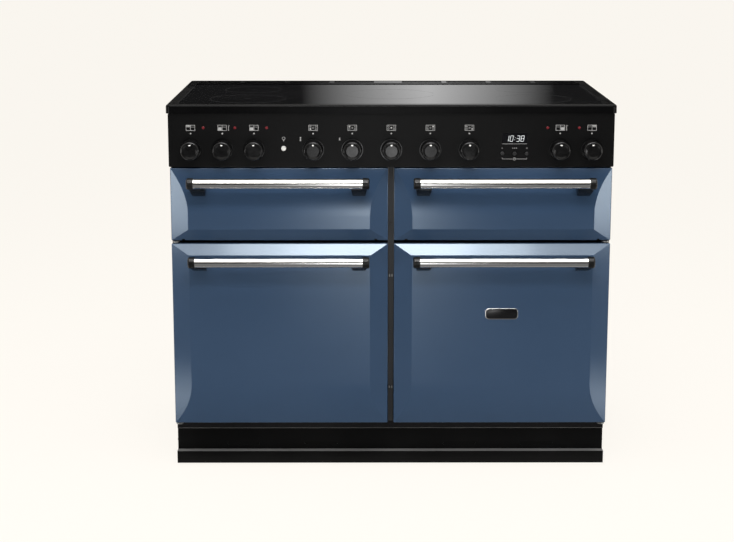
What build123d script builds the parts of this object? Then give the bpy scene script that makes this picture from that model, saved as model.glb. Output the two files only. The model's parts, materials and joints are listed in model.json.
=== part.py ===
"""Free-standing induction range cooker with four ovens, 110 cm class. Millimetres, +Z up, front at -Y."""
import os

from build123d import *

# Overall sizes
carcass_width = 1084.0
carcass_depth = 565.0
sheet = 1.5

# Heights from the floor up
plinth_floor_gap = 4.0
plinth_height = 31.0
lower_panel_height = 57.0
lower_door_low = 115.0
lower_door_height = 462.0
door_row_gap = 8.0
upper_door_height = 181.0
fascia_gap = 3.0
fascia_height = 132.0
rim_height = 21.0

# Depths in front of and behind the face of the front frame
door_standoff = 8.0
door_edge = 22.0
door_proud = 15.0
fascia_proud = 34.0
rim_overhang = 5.0
rim_side_overhang = 8.0
fascia_side_overlap = 3.0
lower_panel_setback = 6.0
plinth_proud = 16.0

# Doors
door_side_overlap = 1.0
centre_gap = 15.0
door_corner = 3.0
door_edge_round = 2.5
side_crease_round = 6.0
facet_crease_round = 5.0
side_bevel = 44.0
upper_bottom_facet = 30.0
upper_crown = 118.0
lower_top_facet = 28.0
lower_sweep = 105.0
skin = 1.2
inner_field_rise = 5.0
inner_field_margin = 12.0
inner_field_draft = 30.0

# Door handles
bar_diameter = 25.0
bar_wall = 1.5
bar_end_inset = 62.75
bar_hidden = 12.0
bar_standoff = 45.0
upper_bar_below_top = 30.0
lower_bar_below_top = 36.0
cap_diameter = 28.5
cap_length = 17.0
cap_round = 4.25
leg_width = 43.0
leg_foot_width = 28.0
leg_foot_height = 24.0
leg_shoulder_share = 0.1667
leg_hollow_share = 0.5
upper_leg_drop = 34.0
lower_leg_drop = 24.0

# Hinges and catches
pin_diameter = 6.0
pin_clearance = 0.3
drop_pivot_rise = 14.0
drop_pivot_from_edge_face = 5.0
drop_arm_inset = 30.0
arm_thickness = 5.0
arm_half_height = 6.0
arm_clearance = 1.0
lug_length = 10.0
lug_half = 6.5
side_pivot_inset = 10.0
side_pin_reach = 14.0
side_plate_thickness = 3.0
side_plate_clearance = 2.0
catch_above_low = 90.0
catch_below_top = 84.0
catch_width = 6.0

# Centre strip between the doors
strip_clearance = 1.5
strip_depth = 12.0
strip_seam_rise = 12.0

# Oven mouths and liners
mouth_side_margin = 52.75
lower_mouth_height = 385.0
upper_mouth_height = 112.0
mouth_corner = 14.0
lower_mouth_margin = 38.0
upper_mouth_margin = 46.0
liner_depth = 430.0
liner_flange = 14.0
seal_width = 9.0
seal_round = 3.0
seal_clearance = 0.3
seal_offset = 4.0
runner_size = 7.0
runner_lip = 2.333
runner_length = 340.0
runner_front_setback = 30.0
lower_runner_heights = (70.0, 150.0, 230.0, 305.0)
upper_runner_heights = (28.0,)

# Shelves and grill pan
shelf_rod = 5.0
shelf_bar = 3.0
shelf_bar_count = 11
shelf_side_gap = 2.0
shelf_depth = 330.0
pan_height = 24.0
pan_rim = 12.0
pan_draft = 12.0

# Oven fans, baffles and elements
fan_diameter = 150.0
fan_height = 22.0
fan_blade_count = 8
fan_blade_thickness = 2.0
fan_hub_diameter = 26.0
fan_disc = 2.0
fan_wall_gap = 8.0
motor_shaft = 8.0
motor_diameter = 74.0
motor_length = 62.0
motor_flange = 4.0
motor_flange_width = 100.0
baffle_width = 270.0
baffle_depth = 48.0
baffle_slot_count = 12
baffle_slot_width = 7.0
baffle_slot_inner = 18.0
baffle_slot_outer = 62.0
baffle_vent_height = 150.0
baffle_vent_width = 12.0
baffle_vent_corner = 4.0
element_rod = 7.0
ring_element_diameter = 190.0
ring_wall_gap = 18.0
hairpin_passes = 6
hairpin_side_gap = 75.0
hairpin_bend_share = 0.49
hairpin_length = 300.0
hairpin_roof_gap = 16.0
hairpin_floor_gap = 12.0

# Control panel
fascia_sheet = 2.0
knob_height_in_fascia = 43.0
outer_knob_inset = 55.0
oven_knob_pitch_share = 0.071
hob_knob_pitch_share = 0.0875
hob_knob_count = 5
left_oven_knob_count = 3
right_oven_knob_count = 2
knob_base_diameter = 53.0
knob_face_diameter = 45.0
knob_depth = 33.0
knob_skirt = 5.0
knob_skirt_step = 1.6
knob_edge_round = 4.0
knob_face_dish = 1.2
knob_panel_gap = 1.0
shaft_diameter = 6.0
shaft_clearance = 0.3
shaft_reach = 22.0
shaft_hole = 12.0
switch_size = 44.0
switch_depth = 42.0
neon_diameter = 7.0
neon_dome = 1.6
neon_round = 1.44
neon_flange = 1.75
neon_height_in_fascia = 96.5
neon_offset = 31.0
light_button_height_in_fascia = 46.0
light_button_diameter = 12.0
button_travel = 2.0
button_proud = 3.5
button_round = 0.875
button_clearance = 0.3
button_tail = 6.0
clock_window_width = 61.0
clock_window_height = 24.0
clock_window_height_in_fascia = 71.0
clock_window_recess = 0.5
clock_button_pitch = 30.0
clock_button_diameter = 8.5
clock_button_height_in_fascia = 33.0
clock_body_depth = 36.0
clock_body_margin = 10.0

# Hob
rim_corner = 12.0
rim_round = 5.0
rim_band = 27.0
rim_wall = 14.0
rim_ledge = 12.0
rim_ledge_thickness = 6.0
glass_thickness = 5.0
glass_sink = 2.0
glass_clearance = 1.0
rim_rear_bar = 8.0
vent_depth = 82.0
vent_slot_depth = 40.0
vent_slot_corner = 4.0
vent_bar = 13.0
vent_centre = 77.0
vent_end = 5.5
vent_slots_each_side = 4
tray_depth = 52.0
tray_front_setback = 20.0
coil_thickness = 10.0
coil_bore = 34.0
coil_glass_gap = 4.0
coil_post = 22.0
coil_spoke_count = 6
coil_spoke_width = 14.0
small_coil = 150.0
large_coil = 190.0
centre_coil = 230.0
coil_edge_margin = 67.0
coil_row_offset = 112.0
module_width = 110.0
module_depth = 300.0
module_board = 6.0
module_fin_height = 20.0
module_fin_count = 7
module_fin = 3.0

# Base, feet and rollers
base_low = 40.0
base_high = 96.0
foot_disc = 44.0
foot_disc_height = 9.0
foot_edge = 2.0
foot_stem = 12.0
foot_stem_gap = 7.5
foot_collar = 22.0
foot_collar_height = 8.0
foot_clearance = 0.3
foot_inset_x = 70.0
foot_inset_y = 60.0
gusset = 60.0
roller_diameter = 36.0
roller_width = 18.0
roller_axle = 8.0
roller_clearance = 0.3
roller_cheek = 3.0
roller_chamfer = 1.5
slot_width = 82.0
slot_height = 9.0
slot_corner = 3.0
slot_offset = 98.5
slot_rise = 9.0
panel_lip = 4.0

# Rear panel
louvre_width = 90.0
louvre_height = 5.0
louvre_pitch = 14.0
louvre_rows = 8
louvre_columns = 4
louvre_column_gap = 130.0
louvre_low = 620.0
inlet_diameter = 28.0
inlet_side_inset = 122.0
inlet_height = 220.0

# Levels and planes that follow from the sizes above
handle_front = door_standoff + door_edge + door_proud + bar_standoff + max(bar_diameter, cap_diameter) / 2
front_y = (handle_front - carcass_depth) / 2
back_y = front_y + carcass_depth
plinth_top = plinth_floor_gap + plinth_height
lower_panel_top = plinth_top + lower_panel_height
lower_door_top = lower_door_low + lower_door_height
upper_door_low = lower_door_top + door_row_gap
upper_door_top = upper_door_low + upper_door_height
fascia_low = upper_door_top + fascia_gap
fascia_top = fascia_low + fascia_height
rim_top = fascia_top + rim_height
door_back_y = front_y - door_standoff
door_edge_y = door_back_y - door_edge
door_face_y = door_edge_y - door_proud
fascia_y = front_y - fascia_proud
fascia_back_y = fascia_y + fascia_sheet
rim_front_y = fascia_y - rim_overhang
hob_width = carcass_width + 2 * rim_side_overhang
fascia_width = carcass_width + 2 * fascia_side_overlap
door_span = carcass_width + 2 * door_side_overlap
door_width = (door_span - centre_gap) / 2
door_centre = (door_span + centre_gap) / 4
strip_width = centre_gap - 2 * strip_clearance
strip_seam_height = upper_door_low + strip_seam_rise
catch_heights = (lower_door_low + catch_above_low, lower_door_top - catch_below_top)
carcass_half = carcass_width / 2
mouth_width = door_width - 2 * mouth_side_margin
bar_length = door_width - 2 * bar_end_inset
hairpin_pitch = (mouth_width - 2 * hairpin_side_gap) / (hairpin_passes - 1)
frame_back_y = front_y + sheet
lower_mouth_low = lower_door_low + lower_mouth_margin
upper_mouth_low = upper_door_low + upper_mouth_margin
liner_back_y = frame_back_y + liner_depth
left_half = -1
right_half = 1


def between(low, high):
    """Box from its low corner to its high corner."""
    size = [b - a for a, b in zip(low, high)]
    middle = [(a + b) / 2 for a, b in zip(low, high)]
    return Pos(*middle) * Box(*size)


def depth_slab(sketch, back, front):
    """Sketch drawn in X and Z, made solid from one depth forward to another."""
    return extrude(Plane.XZ.offset(-back) * sketch, amount=back - front)


def height_slab(sketch, low, high):
    """Sketch drawn in X and Y, made solid from one height up to another."""
    return extrude(Plane.XY.offset(low) * sketch, amount=high - low)


def width_slab(sketch, left, right):
    """Sketch drawn in Y and Z, made solid from one side across to another."""
    return extrude(Plane.YZ.offset(left) * sketch, amount=right - left)


def outline(*points):
    """Flat face inside a closed run of straight lines."""
    return make_face(Polyline(*points, close=True))


def round_bar(diameter, start, end):
    """Straight round bar between two points."""
    axis = Vector(*end) - Vector(*start)
    return Plane(origin=start, z_dir=axis) * Cylinder(
        diameter / 2, axis.length, align=(Align.CENTER, Align.CENTER, Align.MIN)
    )


def window(x, z, width, height, corner=0.0):
    """Rectangle in X and Z about a point, with rounded corners where a radius is given."""
    shape = RectangleRounded(width, height, corner) if corner else Rectangle(width, height)
    return Pos(x, z) * shape


def disc_at(x, z, diameter):
    """Circle in X and Z about a point."""
    return Pos(x, z) * Circle(diameter / 2)


def plate(corner_a, corner_b, low, thickness):
    """Flat plate over two opposite corners in X and Y."""
    xs = sorted((corner_a[0], corner_b[0]))
    ys = sorted((corner_a[1], corner_b[1]))
    return between((xs[0], ys[0], low), (xs[1], ys[1], low + thickness))


parts = {}


# Carcass: base frame, side panels, rear panel, front frame

def roller_centres():
    """Centre of each rear roller."""
    y = back_y - foot_inset_y
    place = carcass_half - foot_inset_x
    return [(side * place, y, roller_diameter / 2) for side in (left_half, right_half)]


def foot_centres():
    """Place on the floor of each front foot."""
    y = front_y + lower_panel_setback + sheet + foot_inset_y
    return [(side * (carcass_half - foot_inset_x), y) for side in (left_half, right_half)]


def base_frame():
    """Downturned floor tray with corner gussets for the feet and forked brackets for the rollers."""
    half = carcass_half - sheet
    low_y = front_y + lower_panel_setback + sheet
    high_y = back_y - 2 * sheet
    middle = (low_y + high_y) / 2
    outer = height_slab(Pos(0, middle) * Rectangle(2 * half, high_y - low_y), base_low, base_high)
    hollow = height_slab(
        Pos(0, middle) * Rectangle(2 * (half - sheet), high_y - low_y - 2 * sheet),
        base_low,
        base_high - sheet,
    )
    tray = outer - hollow
    for x, y in foot_centres():
        hole = Pos(x, y) * Circle(foot_stem / 2 + foot_clearance)
        tray += height_slab(Pos(x, y) * Rectangle(gusset, gusset) - hole, base_low, base_low + 2 * sheet)
        side = 1 if x > 0 else -1
        inner = (x + side * gusset / 2, y - gusset / 2)
        outer = (side * half, y + gusset / 2)
        tray += plate(inner, outer, base_low, 2 * sheet)
    for x, y, z in roller_centres():
        tray += roller_bracket(x, y, z, half)
    return tray


def roller_bracket(x, y, z, half):
    """Top plate with two cheeks and the axle that a roller turns on."""
    reach = roller_width / 2 + roller_clearance
    side = 1 if x > 0 else -1
    inner = (x - side * gusset / 2, y - gusset / 2)
    outer = (side * half, y + gusset / 2)
    bracket = plate(inner, outer, base_low, 2 * sheet)
    cheek = outline(
        (y - roller_diameter / 2, base_low),
        (y + roller_diameter / 2, base_low),
        (y + roller_axle, z - roller_axle),
        (y - roller_axle, z - roller_axle),
    )
    bracket += width_slab(cheek, x - reach - roller_cheek, x - reach)
    bracket += width_slab(cheek, x + reach, x + reach + roller_cheek)
    return bracket + round_bar(roller_axle, (x - reach, y, z), (x + reach, y, z))


def roller(x, y, z):
    """Grooved roller with a clearance bore for its axle."""
    tread = Pos(x, y, z) * Rot(0, 90, 0) * Cylinder(roller_diameter / 2, roller_width)
    tread = chamfer(tread.edges().filter_by(GeomType.CIRCLE), roller_chamfer)
    reach = roller_width / 2
    return tread - round_bar(roller_axle + 2 * roller_clearance, (x - reach, y, z), (x + reach, y, z))


def levelling_feet():
    """Screw feet: floor disc, stem and the collar that the gusset stands on."""
    feet = []
    for x, y in foot_centres():
        profile = outline(
            (0, 0),
            (foot_disc / 2 - foot_edge, 0),
            (foot_disc / 2, foot_edge),
            (foot_disc / 2, foot_disc_height / 2),
            (foot_stem / 2, foot_disc_height),
            (foot_stem / 2, base_low - foot_collar_height),
            (foot_collar / 2, base_low - foot_collar_height),
            (foot_collar / 2, base_low),
            (foot_stem / 2, base_low),
            (foot_stem / 2, base_high - foot_stem_gap),
            (0, base_high - foot_stem_gap),
        )
        feet.append(Pos(x, y) * revolve(Plane.XZ * profile, Axis.Z))
    return Compound(feet)


def side_panels():
    """Side sheets with front and rear flanges folded inwards, notched for the lower front panel."""
    panels = []
    flange = liner_flange
    for side in (left_half, right_half):
        outer = side * carcass_half
        inner = side * (carcass_half - flange)
        end_y = back_y - sheet
        points = [(inner, frame_back_y), (outer, frame_back_y), (outer, end_y), (inner, end_y)]
        if side == right_half:
            points.reverse()
        run = Polyline(*points).wire()
        section = make_face(run.offset_2d(sheet, kind=Kind.INTERSECTION, side=Side.RIGHT, closed=True))
        notch_back = front_y + lower_panel_setback + sheet
        notch = plate((inner, front_y), (outer, notch_back), base_low, lower_panel_top - base_low)
        panels.append(height_slab(section, base_low, fascia_top) - notch)
    return Compound(panels)


def rear_panel():
    """Rear sheet with columns of cooling louvres and the mains inlet hole."""
    height = fascia_top - base_low
    face = window(0, base_low + height / 2, carcass_width, height)
    low = louvre_low + louvre_pitch * (louvre_rows - 1) / 2
    places = GridLocations(louvre_width + louvre_column_gap, louvre_pitch, louvre_columns, louvre_rows)
    face -= Pos(0, low) * (Sketch() + places * SlotOverall(louvre_width, louvre_height))
    face -= disc_at(carcass_half - inlet_side_inset, inlet_height, inlet_diameter)
    return depth_slab(face, back_y, back_y - sheet)


class Mouth:
    """One oven mouth: its place across the cooker, its lower edge and its height."""

    def __init__(self, side, low, height):
        self.side = side
        self.x = side * door_centre
        self.low = low
        self.height = height
        self.top = low + height

    def outline(self, grow=0.0):
        """Outline of the mouth in X and Z, grown evenly where asked."""
        middle = (self.low + self.top) / 2
        return window(self.x, middle, mouth_width + 2 * grow, self.height + 2 * grow, mouth_corner + grow)


lower_mouths = [Mouth(side, lower_mouth_low, lower_mouth_height) for side in (left_half, right_half)]
upper_mouths = [Mouth(side, upper_mouth_low, upper_mouth_height) for side in (left_half, right_half)]


def front_frame():
    """Front plates round the four oven mouths: three stiles with three rails across each side."""
    inner = door_centre - mouth_width / 2
    outer = door_centre + mouth_width / 2
    rail_edges = (
        (lower_panel_top, lower_mouth_low),
        (lower_mouth_low + lower_mouth_height, upper_mouth_low),
        (upper_mouth_low + upper_mouth_height, upper_door_top),
    )
    spans = [(-carcass_half, -outer), (-inner, inner), (outer, carcass_half)]
    plates = [
        between((left, front_y, lower_panel_top), (right, frame_back_y, upper_door_top))
        for left, right in spans
    ]
    for low, high in rail_edges:
        plates.append(between((-outer, front_y, low), (-inner, frame_back_y, high)))
        plates.append(between((inner, front_y, low), (outer, frame_back_y, high)))
    return Compound(plates)


def door_seals():
    """Ring of sealing cord round each oven mouth."""
    rings = []
    depth = door_standoff - seal_clearance
    for mouth in lower_mouths + upper_mouths:
        ring = mouth.outline(seal_offset + seal_width) - mouth.outline(seal_offset)
        solid = depth_slab(ring, front_y, front_y - depth)
        crown = solid.faces().sort_by(Axis.Y)[0].edges()
        rings.append(fillet(crown, seal_round))
    return Compound(rings)


parts["base_frame"] = base_frame()
parts["levelling_feet"] = levelling_feet()
parts["side_panels"] = side_panels()
parts["rear_panel"] = rear_panel()
parts["front_frame"] = front_frame()
parts["door_seals"] = door_seals()
for name, centre in zip(("left_rear_roller", "right_rear_roller"), roller_centres()):
    parts[name] = roller(*centre)


# Doors: pressed outer panels, inner panels, handles

class DoorRow:
    """One row of doors: its heights, the height of its handle and the drop of its handle legs."""

    def __init__(self, low, high, bar_below_top, leg_drop, upper):
        self.low = low
        self.high = high
        self.bar_z = high - bar_below_top
        self.leg_drop = leg_drop
        self.upper = upper


upper_row = DoorRow(upper_door_low, upper_door_top, upper_bar_below_top, upper_leg_drop, True)
lower_row = DoorRow(lower_door_low, lower_door_top, lower_bar_below_top, lower_leg_drop, False)
bar_y = door_face_y - bar_standoff
drop_pivot_y = door_edge_y + drop_pivot_from_edge_face
drop_pivot_z = upper_door_low + drop_pivot_rise
side_pivot_x = door_span / 2 - side_pivot_inset
side_pivot_y = door_back_y - door_edge / 2
pin_hole = pin_diameter + 2 * pin_clearance


def rounded(face, corners, radius):
    """Flat face with the corners at some places rounded."""
    return fillet([face.vertices().sort_by_distance(corner)[0] for corner in corners], radius)


def door_section(row, low, high, back, edge, face):
    """Side view of a door: flat back, raised face, one facet and one long curve, with softened corners."""
    inset = face - door_face_y
    if row.upper:
        crease = (face, low + upper_bottom_facet)
        straight = Polyline(
            (edge, high), (back, high), (back, low), (edge, low),
            crease, (face, high - upper_crown),
        )
        curve = TangentArc(straight @ 1, straight @ 0, tangent=(0, 1))
    else:
        crease = (face, high - lower_top_facet)
        straight = Polyline(
            (face, low + lower_sweep), crease,
            (edge, high), (back, high), (back, low), (edge, low),
        )
        curve = TangentArc(straight @ 0, straight @ 1, tangent=(0, -1))
    section = make_face([*straight.edges(), *curve.edges()])
    section = rounded(section, [(edge, low), (edge, high)], door_edge_round - inset)
    return rounded(section, [crease], facet_crease_round - inset)


def door_form(side, row, inset, back):
    """Pillowed form of a door: its plan section crossed with its side section, drawn in by an inset."""
    centre = side * door_centre
    half = door_width / 2 - inset
    low = row.low + inset
    high = row.high - inset
    edge = door_edge_y + inset
    face = door_face_y + inset
    plan = outline(
        (centre - half, back), (centre - half, edge), (centre - half + side_bevel, face),
        (centre + half - side_bevel, face), (centre + half, edge), (centre + half, back),
    )
    plan = rounded(plan, [(centre - half, edge), (centre + half, edge)], door_edge_round - inset)
    creases = [(centre - half + side_bevel, face), (centre + half - side_bevel, face)]
    plan = rounded(plan, creases, side_crease_round - inset)
    across = width_slab(door_section(row, low, high, back, edge, face), centre - half, centre + half)
    return height_slab(plan, low, high) & across


def outer_form(side, row):
    """Filled outside form of a door with its rounded corners."""
    middle = (row.low + row.high) / 2
    front = window(side * door_centre, middle, door_width, row.high - row.low, door_corner)
    return door_form(side, row, 0, door_back_y) & depth_slab(front, door_back_y, door_face_y)


def drop_arm_places(side):
    """Place across the cooker of the two hinge arms of a drop-down door."""
    reach = door_width / 2 - drop_arm_inset
    return [side * door_centre - reach, side * door_centre + reach]


def hinge_cuts(side, row):
    """Room that a door leaves for its hinge arms or pins."""
    if row.upper:
        room = arm_thickness / 2 + arm_clearance
        reach = arm_half_height + arm_clearance
        return [
            between(
                (x - room, drop_pivot_y - reach, row.low - reach),
                (x + room, front_y, drop_pivot_z + reach),
            )
            for x in drop_arm_places(side)
        ]
    start = (side * side_pivot_x, side_pivot_y, row.low - pin_diameter)
    end = (side * side_pivot_x, side_pivot_y, row.high + pin_diameter)
    return [round_bar(pin_hole, start, end)]


def outer_panel(side, row):
    """Pressed steel door skin, hollow behind."""
    panel = outer_form(side, row) - door_form(side, row, skin, front_y)
    for cut in hinge_cuts(side, row):
        panel -= cut
    return panel


def hinge_lugs(side, row):
    """Bearing lugs that stand on the inner panel round the hinge pins."""
    back = door_back_y - sheet
    lugs = []
    if row.upper:
        section = window_yz(drop_pivot_y - lug_half, back, drop_pivot_z - lug_half, drop_pivot_z + lug_half)
        start = arm_thickness / 2 + arm_clearance
        for x in drop_arm_places(side):
            lugs.append(width_slab(section, x - start - lug_length, x - start))
            lugs.append(width_slab(section, x + start, x + start + lug_length))
        return lugs
    centre = side * side_pivot_x
    for low in (row.low + skin, row.high - skin - lug_length):
        lugs.append(
            between(
                (centre - lug_half, side_pivot_y - lug_half, low),
                (centre + lug_half, back, low + lug_length),
            )
        )
    return lugs


def window_yz(front, back, low, high):
    """Rectangle in Y and Z between two depths and two heights."""
    return Pos((front + back) / 2, (low + high) / 2) * Rectangle(back - front, high - low)


def pressed_field(side, row, inset, base_y):
    """Tapered field pressed into an inner panel towards the oven."""
    upper = (upper_mouth_low, upper_mouth_height)
    low, height = upper if row.upper else (lower_mouth_low, lower_mouth_height)
    width = mouth_width - 2 * inner_field_margin - 2 * inset
    tall = height - 2 * inner_field_margin - 2 * inset
    plane = Plane(origin=(side * door_centre, base_y, low + height / 2), x_dir=(1, 0, 0), z_dir=(0, 1, 0))
    field = plane * RectangleRounded(width, tall, mouth_corner)
    return extrude(field, inner_field_rise, taper=inner_field_draft)


def inner_panel(side, row):
    """Enamelled inner panel with its pressed field and hinge lugs."""
    middle = (row.low + row.high) / 2
    tall = row.high - row.low - 2 * skin
    plate = window(side * door_centre, middle, door_width - 2 * skin, tall, door_corner - skin)
    panel = depth_slab(plate, door_back_y, door_back_y - sheet)
    panel += pressed_field(side, row, 0, door_back_y)
    panel -= pressed_field(side, row, sheet, door_back_y - sheet)
    panel += hinge_lugs(side, row)
    if row.upper:
        start = (side * door_centre - door_width / 2, drop_pivot_y, drop_pivot_z)
        end = (side * door_centre + door_width / 2, drop_pivot_y, drop_pivot_z)
        panel -= round_bar(pin_hole, start, end)
    for cut in hinge_cuts(side, row):
        panel -= cut
    return panel


def handle_rod(side, row, diameter):
    """Round rod along the handle, as long as the steel tube with its hidden ends."""
    reach = bar_length / 2 + bar_hidden
    start = (side * door_centre - reach, bar_y, row.bar_z)
    end = (side * door_centre + reach, bar_y, row.bar_z)
    return round_bar(diameter, start, end)


def handle_bar(side, row):
    """Steel tube between the two handle ends."""
    return handle_rod(side, row, bar_diameter) - handle_rod(side, row, bar_diameter - 2 * bar_wall)


def handle_leg(x, inward, row):
    """Leg that curves down from the bar to the door, narrowing to its foot."""
    foot_y = door_back_y - door_edge / 2
    foot_z = row.bar_z - row.leg_drop
    half = leg_foot_height / 2
    under = cap_diameter / 2
    top = Bezier(
        (bar_y, row.bar_z),
        (bar_y + bar_standoff / 2, row.bar_z - row.leg_drop * leg_shoulder_share),
        (foot_y, foot_z + half),
    )
    end = Line((foot_y, foot_z + half), (foot_y, foot_z - half))
    low = Bezier(
        (foot_y, foot_z - half),
        (bar_y + bar_standoff / 2, row.bar_z - under - row.leg_drop * leg_hollow_share),
        (bar_y, row.bar_z - under),
    )
    rise = Line((bar_y, row.bar_z - under), (bar_y, row.bar_z))
    outer = x
    inner = x + inward * leg_width
    shrink = inward * (leg_width - leg_foot_width) / 2
    side_view = make_face([*top.edges(), *end.edges(), *low.edges(), *rise.edges()])
    front_view = outline(
        (outer, row.bar_z),
        (inner, row.bar_z),
        (inner - shrink, foot_z - half),
        (outer + shrink, foot_z - half),
    )
    body = width_slab(side_view, min(outer, inner), max(outer, inner))
    return body & depth_slab(front_view, foot_y, bar_y - under)


def handle_ends(side, row):
    """Two moulded ends: a domed cap over the bar and a leg down to the door."""
    ends = []
    bar = handle_rod(side, row, bar_diameter)
    door = outer_form(side, row)
    for outward in (left_half, right_half):
        start = side * door_centre + outward * bar_length / 2
        tip = start + outward * cap_length
        cap = round_bar(cap_diameter, (start, bar_y, row.bar_z), (tip, bar_y, row.bar_z))
        rim = cap.edges().filter_by(GeomType.CIRCLE).sort_by(Axis.X)[-1 if outward > 0 else 0]
        cap = fillet(rim, cap_round)
        ends.append(cap + handle_leg(tip - outward * cap_round, -outward, row) - bar - door)
    return Compound(ends)


doors = {
    "grill_door": (left_half, upper_row),
    "slow_oven_door": (right_half, upper_row),
    "left_oven_door": (left_half, lower_row),
    "right_oven_door": (right_half, lower_row),
}
for name, (side, row) in doors.items():
    parts[name + "_outer_panel"] = outer_panel(side, row)
    parts[name + "_inner_panel"] = inner_panel(side, row)
    parts[name + "_handle_bar"] = handle_bar(side, row)
    parts[name + "_handle_ends"] = handle_ends(side, row)


# Hinge brackets, catches and centre strip

def drop_hinge_arm(x):
    """Arm from the front frame with a cross pin for a drop-down door."""
    bar = window_yz(drop_pivot_y, front_y, drop_pivot_z - arm_half_height, drop_pivot_z + arm_half_height)
    nose = Pos(drop_pivot_y, drop_pivot_z) * Circle(arm_half_height)
    arm = width_slab(bar + nose, x - arm_thickness / 2, x + arm_thickness / 2)
    reach = arm_thickness / 2 + arm_clearance + lug_length
    return arm + round_bar(
        pin_diameter, (x - reach, drop_pivot_y, drop_pivot_z), (x + reach, drop_pivot_y, drop_pivot_z)
    )


def side_hinge_plate(side, plate_low, pin_tip):
    """Plate from the front frame with an upright pin for a side-hinged door."""
    centre = side * side_pivot_x
    reach = carcass_half - side_pivot_x
    width = Pos(centre, (front_y + side_pivot_y) / 2) * Rectangle(2 * reach, front_y - side_pivot_y)
    nose = Pos(centre, side_pivot_y) * Circle(reach)
    plate = height_slab(width + nose, plate_low, plate_low + side_plate_thickness)
    middle = plate_low + side_plate_thickness / 2
    return plate + round_bar(pin_diameter, (centre, side_pivot_y, middle), (centre, side_pivot_y, pin_tip))


def hinge_fittings():
    """All hinge arms and plates, and the door catches on the centre strip."""
    fittings = []
    for side in (left_half, right_half):
        fittings += [drop_hinge_arm(x) for x in drop_arm_places(side)]
        above = lower_door_top + side_plate_clearance
        below = lower_door_low - side_plate_clearance - side_plate_thickness
        fittings.append(side_hinge_plate(side, above, lower_door_top - side_pin_reach))
        fittings.append(side_hinge_plate(side, below, lower_door_low + side_pin_reach))
        for height in catch_heights:
            x = side * (strip_width - catch_width) / 2
            tongue = window(x, height, catch_width / 2, catch_width, catch_width / 5)
            fittings.append(depth_slab(tongue, front_y - strip_depth, front_y - strip_depth - catch_width))
    return Compound(fittings)


def centre_strip():
    """Channel-section strip between the doors, in an upper and a lower length."""
    half = strip_width / 2
    points = [
        (-half, front_y), (-half, front_y - strip_depth), (half, front_y - strip_depth), (half, front_y),
        (half - sheet, front_y), (half - sheet, front_y - strip_depth + sheet),
        (-half + sheet, front_y - strip_depth + sheet), (-half + sheet, front_y),
    ]
    lower = height_slab(outline(*points), lower_door_low, strip_seam_height)
    upper = height_slab(outline(*points), strip_seam_height, upper_door_top)
    return Compound([lower, upper])


parts["hinge_fittings"] = hinge_fittings()
parts["centre_strip"] = centre_strip()


# Ovens: liners, shelves, grill pan, baffles, fans, motors, elements

fan_z = lower_mouth_low + lower_mouth_height / 2
shelf_front_y = frame_back_y + runner_front_setback
hairpin_back_y = liner_back_y - baffle_depth
element_hole = element_rod + 2 * pin_clearance
terminal_y = liner_back_y + sheet + element_rod


def hairpin_places(x):
    """Places across an oven of the passes of its hairpin element."""
    first = x - hairpin_pitch * (hairpin_passes - 1) / 2
    return [first + hairpin_pitch * index for index in range(hairpin_passes)]


def fan_oven_holes(mouth):
    """Holes in the rear wall of a fan oven for its ring element and motor shaft."""
    reach = ring_element_diameter / 2
    return [
        disc_at(mouth.x - reach, fan_z, element_hole),
        disc_at(mouth.x + reach, fan_z, element_hole),
        disc_at(mouth.x, fan_z, motor_shaft + 2 * pin_clearance),
    ]


def hairpin_holes(mouth):
    """Holes in the rear wall of an upper oven for its hairpin element."""
    places = hairpin_places(mouth.x)
    z = hairpin_height(mouth)
    return [disc_at(places[0], z, element_hole), disc_at(places[-1], z, element_hole)]


def hairpin_height(mouth):
    """Height of an upper oven's element: under the roof in the grill, over the floor in the slow oven."""
    return mouth.top - hairpin_roof_gap if mouth.side == left_half else mouth.low + hairpin_floor_gap


def liner(mouth, runner_heights, holes):
    """Enamelled oven box with a mouth flange and pressed shelf runners."""
    box = depth_slab(mouth.outline(sheet), liner_back_y + sheet, frame_back_y)
    box += depth_slab(mouth.outline(liner_flange), frame_back_y + sheet, frame_back_y)
    box -= depth_slab(mouth.outline(), liner_back_y, frame_back_y)
    for rise in runner_heights:
        for side in (left_half, right_half):
            wall = mouth.x + side * mouth_width / 2
            top = mouth.low + rise
            rib = outline(
                (wall, top),
                (wall - side * runner_size, top),
                (wall - side * runner_size, top - runner_lip),
                (wall, top - runner_size),
            )
            box += depth_slab(rib, shelf_front_y + runner_length, shelf_front_y)
    for hole in holes:
        box -= depth_slab(hole, liner_back_y + 2 * sheet, liner_back_y - sheet)
    return box


def wire_shelf(x, width, depth, front, bottom):
    """Wire shelf: rounded outer rod with bars from front to back."""
    z = bottom + shelf_rod / 2
    corner = 3 * shelf_rod
    middle = front + depth / 2
    loop = (Pos(x, middle, z) * RectangleRounded(width - shelf_rod, depth - shelf_rod, corner)).wire()
    start = Plane(origin=loop @ 0, z_dir=loop % 0)
    shelf = sweep(start * Circle(shelf_rod / 2), path=loop)
    pitch = (width - shelf_rod) / (shelf_bar_count + 1)
    for index in range(shelf_bar_count):
        place = x + pitch * (index - (shelf_bar_count - 1) / 2)
        shelf += round_bar(
            shelf_bar, (place, front + shelf_rod / 2, z), (place, front + depth - shelf_rod / 2, z)
        )
    return shelf


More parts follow.
